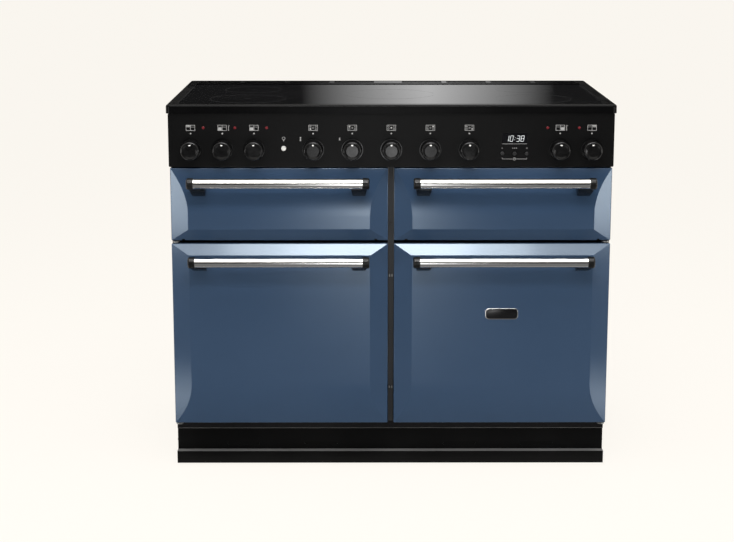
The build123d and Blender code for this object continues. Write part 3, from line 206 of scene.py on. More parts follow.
METAL = ("Metallic", 1.0)
PALE_BLUE: Tint = (0.74, 0.88, 1.0, 1.0)
FINISHES: dict[str, Finish] = {
    finish.name: finish
    for finish in (
        Finish(
            "door_enamel", (0.025, 0.048, 0.092), (0.028, 0.052, 0.098), (0.12, 0.16),
            coarse=3.0, fine=420.0, relief=0.01,
            settings=(("Coat Weight", 0.12), ("Coat Roughness", 0.06), ("Specular Tint", PALE_BLUE)),
        ),
        Finish(
            "black_paint", (0.007, 0.007, 0.0075), (0.010, 0.010, 0.0105), (0.38, 0.50),
            fine=1600.0, relief=0.12,
            settings=(sheen(0.30),),
        ),
        Finish(
            "black_enamel", (0.004, 0.004, 0.0045), (0.006, 0.006, 0.0065), (0.14, 0.22),
            fine=500.0, relief=0.03,
            settings=(sheen(0.30),),
        ),
        Finish(
            "fascia_black", (0.0020, 0.0020, 0.0021), (0.0028, 0.0028, 0.0029), (0.30, 0.36),
            coarse=4.0, fine=2200.0, relief=0.04,
            settings=(sheen(0.14),),
        ),
        Finish(
            "rim_black", (0.002, 0.002, 0.0022), (0.0032, 0.0032, 0.0034), (0.16, 0.24),
            fine=1400.0, relief=0.02,
            settings=(sheen(0.06),),
        ),
        Finish(
            "panel_black", (0.0025, 0.0025, 0.0026), (0.004, 0.004, 0.0041), (0.30, 0.40),
            fine=1500.0, relief=0.08,
            settings=(sheen(0.08),),
        ),
        Finish(
            "strip_grey", (0.022, 0.0225, 0.024), (0.030, 0.0305, 0.032), (0.34, 0.42),
            fine=1600.0, relief=0.10,
            settings=(sheen(0.30),),
        ),
        Finish(
            "hob_glass", (0.004, 0.004, 0.0045), (0.006, 0.006, 0.0065), (0.05, 0.10),
            coarse=5.0, fine=300.0, relief=0.0,
        ),
        Finish(
            "clock_glass", (0.004, 0.004, 0.005), (0.006, 0.006, 0.007), (0.06, 0.10),
            coarse=30.0, fine=300.0, relief=0.004,
        ),
        Finish(
            "stainless", (0.78, 0.77, 0.76), (0.84, 0.83, 0.82), (0.10, 0.14),
            coarse=260.0, fine=160.0, stretch=(0.01, 8.0, 8.0), relief=0.0,
            settings=(METAL,),
        ),
        Finish(
            "handle_black", (0.003, 0.003, 0.0031), (0.005, 0.005, 0.0051), (0.22, 0.30),
            fine=1800.0, relief=0.05,
            settings=(sheen(0.30),),
        ),
        # Grey for the painted highlights along the plinth's ledge and the lower panel's top edge.
        Finish(
            "painted_highlight_grey", (0.13, 0.13, 0.13), (0.17, 0.17, 0.17), (0.40, 0.50),
            fine=1600.0, relief=0.02,
        ),
        Finish(
            "knob_black", (0.003, 0.003, 0.0032), (0.005, 0.005, 0.0052), (0.12, 0.18),
            coarse=40.0, fine=1500.0, relief=0.02,
            settings=(sheen(0.30),),
        ),
        Finish(
            "button_dark", (0.008, 0.008, 0.0085), (0.014, 0.014, 0.0145), (0.25, 0.34),
            coarse=90.0, fine=2500.0,
        ),
        Finish(
            "button_pale", (0.46, 0.46, 0.45), (0.56, 0.56, 0.54), (0.30, 0.40),
            coarse=90.0, fine=2500.0,
        ),
        Finish(
            "print_grey", (0.30, 0.30, 0.30), (0.36, 0.36, 0.36), (0.40, 0.50),
            coarse=90.0, fine=2500.0,
        ),
        Finish(
            "dot_white", (0.74, 0.74, 0.73), (0.84, 0.84, 0.83), (0.34, 0.44),
            coarse=90.0, fine=2500.0,
        ),
        Finish(
            "neon_red", (0.085, 0.007, 0.010), (0.12, 0.011, 0.015), (0.20, 0.28),
            coarse=160.0, fine=900.0, glow=(0.8, 0.03, 0.05),
            settings=(("Emission Strength", 0.02), sheen(0.30)),
        ),
        Finish(
            "liner_enamel", (0.020, 0.020, 0.022), (0.10, 0.10, 0.105), (0.16, 0.26),
            effect=Effect.FLECK, coarse=330.0, fine=240.0, relief=0.05,
        ),
        Finish(
            "chrome_wire", (0.66, 0.66, 0.67), (0.74, 0.74, 0.75), (0.08, 0.14),
            coarse=30.0, relief=0.02,
            settings=(METAL,),
        ),
        Finish(
            "galvanised", (0.44, 0.45, 0.46), (0.58, 0.59, 0.60), (0.34, 0.50),
            effect=Effect.SPANGLE, coarse=60.0, fine=700.0,
            settings=(METAL,),
        ),
        Finish(
            "zinc_steel", (0.24, 0.24, 0.235), (0.32, 0.32, 0.31), (0.36, 0.46),
            coarse=50.0,
            settings=(METAL,),
        ),
        Finish(
            "element_steel", (0.20, 0.19, 0.18), (0.30, 0.28, 0.26), (0.36, 0.48),
            coarse=60.0, relief=0.10,
            settings=(METAL,),
        ),
        Finish(
            "seal_rubber", (0.030, 0.030, 0.031), (0.045, 0.045, 0.046), (0.60, 0.72),
            coarse=60.0, fine=1200.0, relief=0.30,
        ),
        Finish(
            "black_plastic", (0.012, 0.012, 0.0125), (0.018, 0.018, 0.0185), (0.40, 0.50),
            coarse=40.0, fine=2200.0, relief=0.12,
        ),
        Finish(
            "lit_digits", (0.55, 0.58, 0.60), (0.65, 0.68, 0.70), (0.30, 0.38),
            coarse=90.0, fine=900.0, glow=(0.80, 0.84, 0.88),
            settings=(("Emission Strength", 0.10),),
        ),
        # Near black for the painted shade inside the lower panel's slots.
        Finish(
            "slot_shade", (0.0015, 0.0015, 0.0015), (0.0025, 0.0025, 0.0025), (0.80, 0.90),
            fine=900.0, relief=0.10,
            settings=(sheen(0.10),),
        ),
        Finish(
            "zone_print", (0.045, 0.045, 0.047), (0.055, 0.055, 0.057), (0.06, 0.10),
            coarse=90.0, fine=900.0, relief=0.0,
        ),
        Finish(
            "roller_nylon", (0.52, 0.51, 0.48), (0.60, 0.59, 0.55), (0.42, 0.52),
            coarse=60.0, relief=0.06,
        ),
        Finish(
            "coil_copper", (0.62, 0.27, 0.14), (0.74, 0.36, 0.20), (0.26, 0.36),
            coarse=160.0, fine=700.0, relief=0.12,
            settings=(METAL,),
        ),
    )
}
SMOOTH_ANGLE = math.radians(35.0)
MERGE = 1e-6


class Facing(Enum):
    """The way that a flat mark or a fastener faces; each value is a unit vector."""

    FRONT = (0.0, -1.0, 0.0)
    UP = (0.0, 0.0, 1.0)
    LEFT = (-1.0, 0.0, 0.0)
    RIGHT = (1.0, 0.0, 0.0)

    def seat(self, point: Point) -> Matrix:
        """Give the matrix that stands a shape's own Z along this way at a point.

        Args:
            point: Where the shape's origin goes, in metres.

        Returns:
            The placing matrix.
        """
        turn = Vector((0.0, 0.0, 1.0)).rotation_difference(Vector(self.value))
        return Matrix.Translation(point) @ turn.to_matrix().to_4x4()


class Workshop:
    """The finishes as materials, and the bench on which new pieces are put together."""

    def __init__(self) -> None:
        """Build every finish as a material."""
        groups = EffectGroups()
        self.materials = {slot: finish.material(groups) for slot, finish in FINISHES.items()}

    def dress_solids(self) -> None:
        """Give every solid of the frame the finish of its slot."""
        for part in frame["record"]["subparts"]:
            node = frame["nodes"][part["node"]]
            for place in node.material_slots:
                place.material = self.materials[part["material_slot"]]
            LOG.info("%s wears %s", part["node"], part["material_slot"])

    def piece(
        self, mesh: bmesh.types.BMesh, name: str, body: str, slot: str, finish: str = ""
    ) -> bpy.types.Object:
        """Close a mesh and set it on the cooker as a piece.

        Args:
            mesh: The shaped mesh, in the cooker's own place. It is freed.
            name: The piece's name.
            body: The body that it rides on.
            slot: The record's slot whose finish it wears, where no other finish is given.
            finish: The finish that it wears, where that isn't the slot's own.

        Returns:
            The new object.
        """
        bmesh.ops.remove_doubles(mesh, verts=mesh.verts, dist=MERGE)
        bmesh.ops.recalc_face_normals(mesh, faces=mesh.faces)
        for edge in mesh.edges:
            edge.smooth = edge.calc_face_angle(0.0) < SMOOTH_ANGLE
        for face in mesh.faces:
            face.smooth = True
        data = bpy.data.meshes.new(name)
        mesh.to_mesh(data)
        mesh.free()
        data.materials.append(self.materials[finish or slot])
        made = bpy.data.objects.new(name, data)
        bpy.context.scene.collection.objects.link(made)
        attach(made, body)
        LOG.info("%s rides on %s", name, body)
        return made


def middle_of(node: str) -> Vector:
    """Give the middle of a solid's box."""
    low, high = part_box(node)
    return (low + high) / 2


def add_block(mesh: bmesh.types.BMesh, centre: Point, size: Point) -> None:
    """Add a block.

    Args:
        mesh: The mesh that it joins.
        centre: The block's middle.
        size: Its three sides.
    """
    bmesh.ops.create_cube(mesh, size=1.0, matrix=Matrix.Translation(centre) @ Matrix.Diagonal((*size, 1.0)))


def add_disc(mesh: bmesh.types.BMesh, seat: Matrix, radius: float, thick: float, sides: int = 20) -> None:
    """Add a flat disc that stands on its seat.

    Args:
        mesh: The mesh that it joins.
        seat: The seat's matrix.
        radius: The disc's radius.
        thick: Its thickness.
        sides: How many sides its edge has.
    """
    lift = Matrix.Translation((0.0, 0.0, thick / 2))
    bmesh.ops.create_cone(
        mesh, cap_ends=True, segments=sides, radius1=radius, radius2=radius, depth=thick,
        matrix=seat @ lift,
    )


def add_turned(
    mesh: bmesh.types.BMesh, seat: Matrix, section: list[Flat], steps: int = 48, closed: bool = True
) -> None:
    """Add a turned shape by spinning a section round its seat's Z.

    Args:
        mesh: The mesh that it joins.
        seat: The seat's matrix.
        section: Points as radius and height.
        steps: How many steps the full turn has.
        closed: Whether the section's ends are joined.
    """
    points = [mesh.verts.new(seat @ Vector((radius, 0.0, height))) for radius, height in section]
    pairs = list(zip(points, points[1:])) + ([(points[-1], points[0])] if closed else [])
    edges = [mesh.edges.new(pair) for pair in pairs]
    axis = seat.to_3x3() @ Vector((0.0, 0.0, 1.0))
    bmesh.ops.spin(
        mesh, geom=points + edges, cent=seat.translation, axis=axis, angle=math.tau, steps=steps,
        use_merge=True,
    )


def add_ring(
    mesh: bmesh.types.BMesh, seat: Matrix, radius: float, width: float, thick: float, steps: int = 24
) -> None:
    """Add a flat ring that stands on its seat.

    Args:
        mesh: The mesh that it joins.
        seat: The seat's matrix.
        radius: The ring's middle radius.
        width: How wide its band is.
        thick: Its thickness.
        steps: How many steps its turn has.
    """
    inner, outer = radius - width / 2, radius + width / 2
    add_turned(mesh, seat, [(inner, 0.0), (outer, 0.0), (outer, thick), (inner, thick)], steps)


def add_screw(mesh: bmesh.types.BMesh, seat: Matrix, radius: float, height: float) -> None:
    """Add a pan-head screw with a six-lobed recess.

    Args:
        mesh: The mesh that it joins.
        seat: The matrix of the seat under its head.
        radius: The head's radius.
        height: The head's height.
    """
    sides, taper, land, lobe, recess = 12, 0.72, 0.22, 0.7, 0.55
    lift = Matrix.Translation((0.0, 0.0, height / 2))
    head = bmesh.ops.create_cone(
        mesh, cap_ends=True, segments=sides, radius1=radius, radius2=radius * taper, depth=height,
        matrix=seat @ lift,
    )["verts"]
    way = (seat.to_3x3() @ Vector((0.0, 0.0, 1.0))).normalized()
    faces = dict.fromkeys(face for vert in head for face in vert.link_faces)
    top = max(faces, key=lambda face: face.calc_center_median().dot(way))
    bmesh.ops.inset_region(mesh, faces=[top], thickness=radius * land, use_even_offset=True)
    middle = top.calc_center_median()
    for vert in list(top.verts)[::2]:
        vert.co = middle + (vert.co - middle) * lobe
    floor = bmesh.ops.extrude_face_region(mesh, geom=[top])["geom"]
    sunk = [item for item in floor if isinstance(item, bmesh.types.BMVert)]
    bmesh.ops.translate(mesh, verts=sunk, vec=way * -height * recess)
    bmesh.ops.delete(mesh, geom=[top], context="FACES_ONLY")


@dataclass
class FasciaPrint:
    """The printed marks on the fascia: diagrams, dots, level marks, lamp sign and clock marks."""

    workshop: Workshop
    diagram_z: float = 0.8655
    dot_z: float = 0.8515
    diagram: Flat = (0.0222, 0.0140)
    diagram_split: float = 0.14
    thermometer_gap: float = 0.0042
    zone_spread: Flat = (0.30, 0.21)
    zone_dot: float = 0.0021
    zone_ring: Flat = (0.0017, 0.0006)
    line: float = 0.0009
    dot_radius: float = 0.0019
    ink: float = 0.00015
    level_place: Flat = (-0.031, 0.838)
    level_block: Flat = (0.0030, 0.0026)
    level_pitch: float = 0.0036
    lamp_rise: float = 0.0245
    lamp_ring: Flat = (0.0034, 0.0009)
    lamp_neck: tuple[Flat, ...] = ((0.0048, 0.0032), (0.0064, 0.0024))
    lamp_line: float = 0.0010
    clock_z: float = 0.840
    clock_line: float = 0.0007
    rule_drop: float = 0.0142
    sign_drop: float = 0.0245
    sign_reach: float = 0.0300
    sign: Flat = (0.0034, 0.0009)
    sign_dots: Flat = (0.0045, 0.0011)
    foot_drop: float = 0.0514
    foot_bar: Flat = (0.0172, 0.0256)
    ring_drop: float = 0.0512
    ring: Flat = (0.0030, 0.0008)
    ring_tick: Flat = (0.0010, 0.0026)
    digit: Flat = (0.0078, 0.0150)
    digit_place: Flat = (0.0005, -0.0012)
    digit_pitch: float = 1.36
    digit_slant: float = 0.16
    digit_line: float = 0.0011
    mesh: bmesh.types.BMesh = field(default_factory=bmesh.new)

    def __post_init__(self) -> None:
        """Find the fascia's front face and the clock's middle."""
        self.face_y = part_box("control_panel")[0].y
        self.clock_x = middle_of("clock_set_button").x

    def stroke(self, x: float, z: float, width: float, height: float) -> None:
        """Print one upright rectangle.

        Args:
            x: Its middle across.
            z: Its middle in height.
            width: Its width.
            height: Its height.
        """
        add_block(self.mesh, (x, self.face_y - self.ink / 2, z), (width, self.ink, height))

    def box(self, x: float, z: float, width: float, height: float) -> None:
        """Print the outline of a box round a middle."""
        for side in (-1, 1):
            self.stroke(x + side * (width - self.line) / 2, z, self.line, height)
            self.stroke(x, z + side * (height - self.line) / 2, width - 2 * self.line, self.line)

    def dot(self, x: float, z: float, radius: float) -> None:
        """Print one round dot."""
        add_disc(self.mesh, Facing.FRONT.seat((x, self.face_y, z)), radius, self.ink)

    def circle(self, x: float, z: float, ring: Flat, steps: int = 24) -> None:
        """Print one thin ring.

        Args:
            x: Its middle across.
            z: Its middle in height.
            ring: Its radius and the width of its band.
            steps: How many steps its turn has.
        """
        add_ring(self.mesh, Facing.FRONT.seat((x, self.face_y, z)), *ring, self.ink, steps)

    def oven_diagram(self, x: float, column: int, row: int, heat: bool) -> None:
        """Print the four-oven diagram with one oven filled.

        Args:
            x: The diagram's middle.
            column: -1 for the left pair of ovens, 1 for the right.
            row: -1 for the lower ovens, 1 for the upper.
            heat: Whether a thermometer stands beside it.
        """
        width, height = self.diagram
        z = self.diagram_z
        self.box(x, z, width, height)
        self.stroke(x, z, self.line, height - 2 * self.line)
        split = z + height * self.diagram_split
        for side in (-1, 1):
            self.stroke(x + side * width / 4, split, width / 2 - 2 * self.line, self.line * 0.7)
        low, high = (split, z + height / 2) if row > 0 else (z - height / 2, split)
        gap = self.line * 1.3
        self.stroke(x + column * width / 4, (low + high) / 2, width / 2 - 2.6 * gap, high - low - 2.2 * gap)
        if heat:
            side = x + width / 2 + self.thermometer_gap
            self.stroke(side, z + 0.0008, self.line * 1.2, height * 0.80)
            self.dot(side, z - height * 0.38, self.line * 1.5)
            self.stroke(side + 0.0022, z + height * 0.34, 0.0022, self.line)

    def zone_diagram(self, x: float, lit: int) -> None:
        """Print the five-zone diagram with one zone filled.

        Args:
            x: The diagram's middle.
            lit: Which zone is filled, from left front to right front.
        """
        width, height = self.diagram
        z = self.diagram_z
        self.box(x, z, width, height)
        across, up = width * self.zone_spread[0], height * self.zone_spread[1]
        zones = ((-across, -up), (-across, up), (0.0, 0.0), (across, up), (across, -up))
        for index, (dx, dz) in enumerate(zones):
            if index == lit:
                self.dot(x + dx, z + dz, self.zone_dot)
            else:
                self.circle(x + dx, z + dz, self.zone_ring, 16)

    def lamp_sign(self, x: float, z: float) -> None:
        """Print a bulb: a ring with a neck and a cap under it."""
        self.circle(x, z, self.lamp_ring)
        for drop, width in self.lamp_neck:
            self.stroke(x, z - drop, width, self.lamp_line)

    def level_marks(self, x: float, z: float, count: int) -> None:
        """Print a small stack of blocks, one for each level."""
        for index in range(count):
            self.stroke(x, z + self.level_pitch * (index - (count - 1) / 2), *self.level_block)

    def clock_marks(self) -> None:
        """Print the lines and signs round the clock's buttons."""
        x, z = self.clock_x, self.clock_z
        fine = self.clock_line
        wide, thin = self.sign
        place, length = self.foot_bar
        self.stroke(x, z - self.rule_drop, 2 * self.sign_reach, fine)
        for side in (-1, 1):
            self.stroke(x + side * self.sign_reach, z - self.sign_drop, wide, thin)
            self.stroke(x + side * self.sign_reach, z - self.foot_drop + 2 * fine, fine, wide)
            self.stroke(x + side * place, z - self.foot_drop, length, fine)
        self.stroke(x + self.sign_reach, z - self.sign_drop, thin, wide)
        pitch, radius = self.sign_dots
        for step in (-1, 0, 1):
            self.dot(x + step * pitch, z - self.sign_drop, radius)
        self.circle(x, z - self.ring_drop, self.ring)
        lift, tall = self.ring_tick
        self.stroke(x, z - self.ring_drop + lift, self.ring[1], tall)

    def digits(self, text: str) -> bpy.types.Object:
        """Build the clock's digits from bars, leaning as on a lit display.

        Args:
            text: The digits, with a colon between hours and minutes.

        Returns:
            The digits as one piece.
        """
        mesh = bmesh.new()
        width, height = self.digit
        bar = self.digit_line
        reach = (height - bar) / 2
        across, edge, upright = width - bar * 1.3, (width - bar) / 2, reach - bar * 0.4
        bars = {
            "a": (0.0, reach, across, bar),
            "b": (edge, reach / 2, bar, upright),
            "c": (edge, -reach / 2, bar, upright),
            "d": (0.0, -reach, across, bar),
            "e": (-edge, -reach / 2, bar, upright),
            "f": (-edge, reach / 2, bar, upright),
            "g": (0.0, 0.0, across, bar),
        }
        lit = {"0": "abcdef", "1": "bc", "3": "abcdg", "8": "abcdefg"}
        pitch = width * self.digit_pitch
        face_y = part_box("clock_module")[0].y
        cursor = -pitch * 1.75
        for sign in text:
            if sign == ":":
                cursor -= pitch * 0.25
                for side in (-1, 1):
                    spot = (cursor, face_y - self.ink / 2, side * height * 0.20)
                    add_block(mesh, spot, (bar, self.ink, bar))
                cursor += pitch * 0.75
                continue
            for name in lit[sign]:
                x, z, wide, tall = bars[name]
                add_block(mesh, (cursor + x, face_y - self.ink / 2, z), (wide, self.ink, tall))
            cursor += pitch
        lean = Matrix.Identity(4)
        lean[0][2] = self.digit_slant
        bmesh.ops.transform(mesh, matrix=lean, verts=mesh.verts)
        right, up = self.digit_place
        bmesh.ops.translate(mesh, verts=mesh.verts, vec=(self.clock_x + right, 0.0, self.clock_z + up))
        return self.workshop.piece(mesh, "clock_digits", CHASSIS, "button_pale", "lit_digits")

    def build(self) -> None:
        """Print every mark and the clock's digits."""
        ovens = (
            ("grill_knob", -1, 1, False), ("left_oven_heat_knob", -1, -1, True),
            ("left_oven_function_knob", -1, -1, False), ("right_oven_heat_knob", 1, -1, True),
            ("slow_oven_knob", 1, 1, False),
        )
        zones = (
            "left_front_zone_knob", "left_rear_zone_knob", "centre_zone_knob", "right_rear_zone_knob",
            "right_front_zone_knob",
        )
        for name, column, row, heat in ovens:
            x = middle_of(name).x
            self.oven_diagram(x, column, row, heat)
            self.dot(x, self.dot_z, self.dot_radius)
        for index, name in enumerate(zones):
            x = middle_of(name).x
            self.zone_diagram(x, index)
            self.dot(x, self.dot_z, self.dot_radius)
        for count, name in ((3, zones[0]), (2, zones[1])):
            self.level_marks(middle_of(name).x + self.level_place[0], self.level_place[1], count)
        lamp = middle_of("oven_light_button")
        self.lamp_sign(lamp.x, lamp.z + self.lamp_rise)
        self.clock_marks()
        self.workshop.piece(self.mesh, "fascia_print", CHASSIS, "button_pale", "print_grey")
        self.digits("10:38")


@dataclass
class KnobMarks:
    """The white dot near each knob's upper edge."""

    workshop: Workshop
    offset: float = 0.0155
    radius: float = 0.0030
    thick: float = 0.0006
    sink: float = 0.0013

    def build(self) -> None:
        """Set a dot in the face of every knob."""
        knobs = [name for name in frame["nodes"] if name.endswith("_knob")]
        for name in knobs:
            low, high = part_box(name)
            middle = (low + high) / 2
            mesh = bmesh.new()
            seat = Facing.FRONT.seat((middle.x, low.y + self.sink, middle.z + self.offset))
            add_turned(
                mesh, seat,
                [(0.0, 0.0), (self.radius, 0.0), (self.radius * 0.9, self.thick * 0.7), (0.0, self.thick)],
                steps=24, closed=False,
            )
            self.workshop.piece(mesh, f"{name}_dot", f"{name}_body", "button_pale", "dot_white")


@dataclass
class TrimPlate:
    """The plain oval-ended plate on the lower right door: a bright rim round a black field."""

    workshop: Workshop
    size: Flat = (0.082, 0.028)
    height: float = 0.4015
    thick: float = 0.0022
    rim: float = 0.0016
    corner: float = 0.0095
    sides: int = 8
    edge_share: float = 0.3
    field_span: Flat = (0.5, 1.25)

    def block(self, size: Flat, low: float, high: float) -> bmesh.types.BMesh:
        """Shape a plate with rounded corners.

        Args:
            size: Its width and height.
            low: How far its back stands off the door's face.
            high: How far its front does.

        Returns:
            The plate's mesh, in place on the door.
        """
        mesh = bmesh.new()
        door_low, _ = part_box("right_oven_door_outer_panel")
        x = middle_of("right_oven_door_outer_panel").x
        centre = (x, door_low.y - (low + high) / 2, self.height)
        add_block(mesh, centre, (size[0], high - low, size[1]))
        upright = [
            edge for edge in mesh.edges
            if abs((edge.verts[0].co - edge.verts[1].co).normalized().y) > 0.9
        ]
        bmesh.ops.bevel(
            mesh, geom=upright, offset=self.corner * size[1] / self.size[1], affect="EDGES",
            segments=self.sides, profile=0.5, material=-1, clamp_overlap=True,
        )
        front = [
            edge for edge in mesh.edges
            if all(abs(vert.co.y - (door_low.y - high)) < MERGE for vert in edge.verts) and edge.is_manifold
            and edge.calc_face_angle(0.0) > 1.0
        ]
        bmesh.ops.bevel(
            mesh, geom=front, offset=(high - low) * self.edge_share, affect="EDGES", segments=3,
            profile=0.5, material=-1, clamp_overlap=True,
        )
        return mesh

    def build(self) -> None:
        """Set the rim and the field on the door."""
        wide, tall = self.size
        rim_mesh = self.block(self.size, 0.0, self.thick)
        self.workshop.piece(rim_mesh, "trim_plate_rim", "right_oven_door", "stainless")
        field_size = (wide - 2 * self.rim, tall - 2 * self.rim)
        field_mesh = self.block(field_size, *(self.thick * share for share in self.field_span))
        self.workshop.piece(field_mesh, "trim_plate_field", "right_oven_door", "black_enamel")


@dataclass
class Fasteners:
    """The screws that hold the centre strip and the two side panels."""

    workshop: Workshop
    head: Flat = (0.0032, 0.0018)
    strip_heights: tuple[float, ...] = (0.350, 0.626)
    side_rows: int = 4
    side_columns: int = 3
    side_edge: float = 0.016

    def build(self) -> None:
        """Set all the screws."""
        radius, height = self.head
        strip = bmesh.new()
        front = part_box("centre_strip")[0].y
        for z in self.strip_heights:
            add_screw(strip, Facing.FRONT.seat((0.0, front, z)), radius * 0.9, height * 0.6)
        self.workshop.piece(strip, "strip_screws", CHASSIS, "black_plastic")
        sides = bmesh.new()
        low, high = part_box("side_panels")
        near, far = low.y + self.side_edge, high.y - self.side_edge
        under, over = low.z + self.side_edge, high.z - self.side_edge
        places = [(far, under + (over - under) * row / (self.side_rows - 1)) for row in range(self.side_rows)]
        for column in range(self.side_columns):
            places.append((near + (far - near) * column / self.side_columns, under))
        for y, z in places:
            add_screw(sides, Facing.LEFT.seat((low.x, y, z)), radius, height)
            add_screw(sides, Facing.RIGHT.seat((high.x, y, z)), radius, height)
        self.workshop.piece(sides, "side_screws", CHASSIS, "black_plastic")


@dataclass
class SlotShadePlates:
    """Dark plates in the lower panel's four slots: painted shade standing in for the shade inside them."""

    workshop: Workshop
    offset: float = 0.0985
    rise: float = 0.0135
    setback: float = 0.0046
    size: Point = (0.0818, 0.0006, 0.0088)

    def build(self) -> None:
        """Set one dark plate of painted shade in each slot."""
        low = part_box("lower_front_panel")[0]
        mesh = bmesh.new()
        for door in ("left_oven_door_outer_panel", "right_oven_door_outer_panel"):
            for side in (-1, 1):
                x = middle_of(door).x + side * self.offset
                add_block(mesh, (x, low.y + self.setback + self.size[1] / 2, low.z + self.rise), self.size)
        # The dark plates are painted shade, not a real part of the cooker.
        self.workshop.piece(mesh, "slot_shade_plates", CHASSIS, "black_plastic", "slot_shade")


@dataclass
class EdgeHighlights:
    """Thin grey strips along the plinth's ledge and the lower panel's lip: painted highlights where light
    catches those edges.
    """

    workshop: Workshop
    sheet: float = 0.0004
    inset: float = 0.0010
    ledge: float = 0.0180
    lip: float = 0.0012

    def build(self) -> None:
        """Lay both painted highlight strips."""
        plinth_low, plinth_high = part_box("plinth")
        panel_low, panel_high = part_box("lower_front_panel")
        wide = plinth_high.x - plinth_low.x - 2 * self.inset
        ledge_at = (0.0, plinth_low.y + self.inset + self.ledge / 2, plinth_high.z + self.sheet / 2)
        lip_at = (0.0, panel_low.y - self.sheet / 2, panel_high.z - self.lip / 2)
        mesh = bmesh.new()
        add_block(mesh, ledge_at, (wide, self.ledge, self.sheet))
        add_block(mesh, lip_at, (wide, self.sheet, self.lip))
        # Both strips are painted highlights in grey, not a part of the cooker.
        self.workshop.piece(mesh, "edge_painted_highlights", CHASSIS, "strip_grey", "painted_highlight_grey")


@dataclass
class HobPrint:
    """The thin printed rings that show where pans stand on the glass."""

    workshop: Workshop
    side_offset: float = 0.360
    row_offset: float = 0.112
    radii: tuple[float, float, float] = (0.115, 0.095, 0.075)
    band: float = 0.0012
    ink: float = 0.0001
    cross: float = 0.012

    def build(self) -> None:
        """Print the five zones."""
        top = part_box("hob_glass")[1].z
        middle_y = middle_of("induction_units").y
        mesh = bmesh.new()
        centre, large, small = self.radii
        zones = [(0.0, middle_y, centre)]
        for side in (-1, 1):
            zones.append((side * self.side_offset, middle_y - self.row_offset, large))
            zones.append((side * self.side_offset, middle_y + self.row_offset, small))
        for x, y, radius in zones:
            seat = Facing.UP.seat((x, y, top))
            add_ring(mesh, seat, radius, self.band, self.ink, 96)
            add_block(mesh, (x, y, top + self.ink / 2), (self.cross, self.band, self.ink))
            add_block(mesh, (x, y, top + self.ink / 2), (self.band, self.cross, self.ink))
        self.workshop.piece(mesh, "zone_print", CHASSIS, "strip_grey", "zone_print")


@dataclass(frozen=True)
class Softbox:
    """One rectangular lamp."""

    name: str
    place: Point
    aim: Point
    size: Flat
    radiance: float
    colour: Colour = (1.0, 1.0, 1.0)

    def build(self) -> None:
        """Hang the lamp."""
        lamp = bpy.data.lights.new(self.name, "AREA")
        lamp.shape = "RECTANGLE"
        lamp.size, lamp.size_y = self.size
        lamp.energy = self.radiance * math.pi * self.size[0] * self.size[1]
        lamp.color = self.colour
        holder = bpy.data.objects.new(self.name, lamp)
        way = Vector(self.aim) - Vector(self.place)
        holder.location = self.place
        holder.rotation_euler = way.to_track_quat("-Z", "Y").to_euler()
        bpy.context.scene.collection.objects.link(holder)


@dataclass(frozen=True)
class Flag:
    """A card that only reflections see, dark or pale, with a soft brighter patch on it."""

    name: str
    place: Point
    size: Flat
    facing: Facing
    level: float
    patch: float
    patch_place: Flat
    patch_reach: Flat
    patch_fade: float

    def paint(self) -> bpy.types.Material:
        """Build the card's glow.

        Returns:
            The card's material.
        """
        made = bpy.data.materials.new(self.name)
        made.use_nodes = True
        tree = made.node_tree
        tree.nodes.clear()
        where = tree.nodes.new("ShaderNodeTexCoord")
        spread = tree.nodes.new("ShaderNodeMapping")
        spread.vector_type = "TEXTURE"
        spread.inputs["Location"].default_value = (*self.patch_place, 0.0)
        spread.inputs["Scale"].default_value = (*self.patch_reach, 1.0)
        ball = tree.nodes.new("ShaderNodeTexGradient")
        ball.gradient_type = "SPHERICAL"
        fade = tree.nodes.new("ShaderNodeMath")
        fade.operation = "POWER"
        fade.inputs[1].default_value = self.patch_fade
        span = tree.nodes.new("ShaderNodeMapRange")
        span.inputs["To Min"].default_value = self.level
        span.inputs["To Max"].default_value = self.patch
        glow = tree.nodes.new("ShaderNodeEmission")
        out = tree.nodes.new("ShaderNodeOutputMaterial")
        tree.links.new(where.outputs["Object"], spread.inputs["Vector"])
        tree.links.new(spread.outputs["Vector"], ball.inputs["Vector"])
        tree.links.new(ball.outputs["Fac"], fade.inputs[0])
        tree.links.new(fade.outputs["Value"], span.inputs["Value"])
        tree.links.new(span.outputs["Result"], glow.inputs["Strength"])
        tree.links.new(glow.outputs["Emission"], out.inputs["Surface"])
        return made

    def build(self) -> None:
        """Stand the card in the studio."""
        mesh = bmesh.new()
        spread = Matrix.Diagonal((*self.size, 1.0, 1.0))
        bmesh.ops.create_grid(mesh, x_segments=1, y_segments=1, size=0.5, matrix=spread)
        data = bpy.data.meshes.new(self.name)
        mesh.to_mesh(data)
        mesh.free()
        data.materials.append(self.paint())
        card = bpy.data.objects.new(self.name, data)
        card.location = self.place
        card.rotation_euler = (0.0 if self.facing is Facing.UP else math.pi / 2, 0.0, 0.0)
        bpy.context.scene.collection.objects.link(card)
        for ray in ("camera", "diffuse", "shadow", "transmission", "volume_scatter"):
            setattr(card, f"visible_{ray}", False)


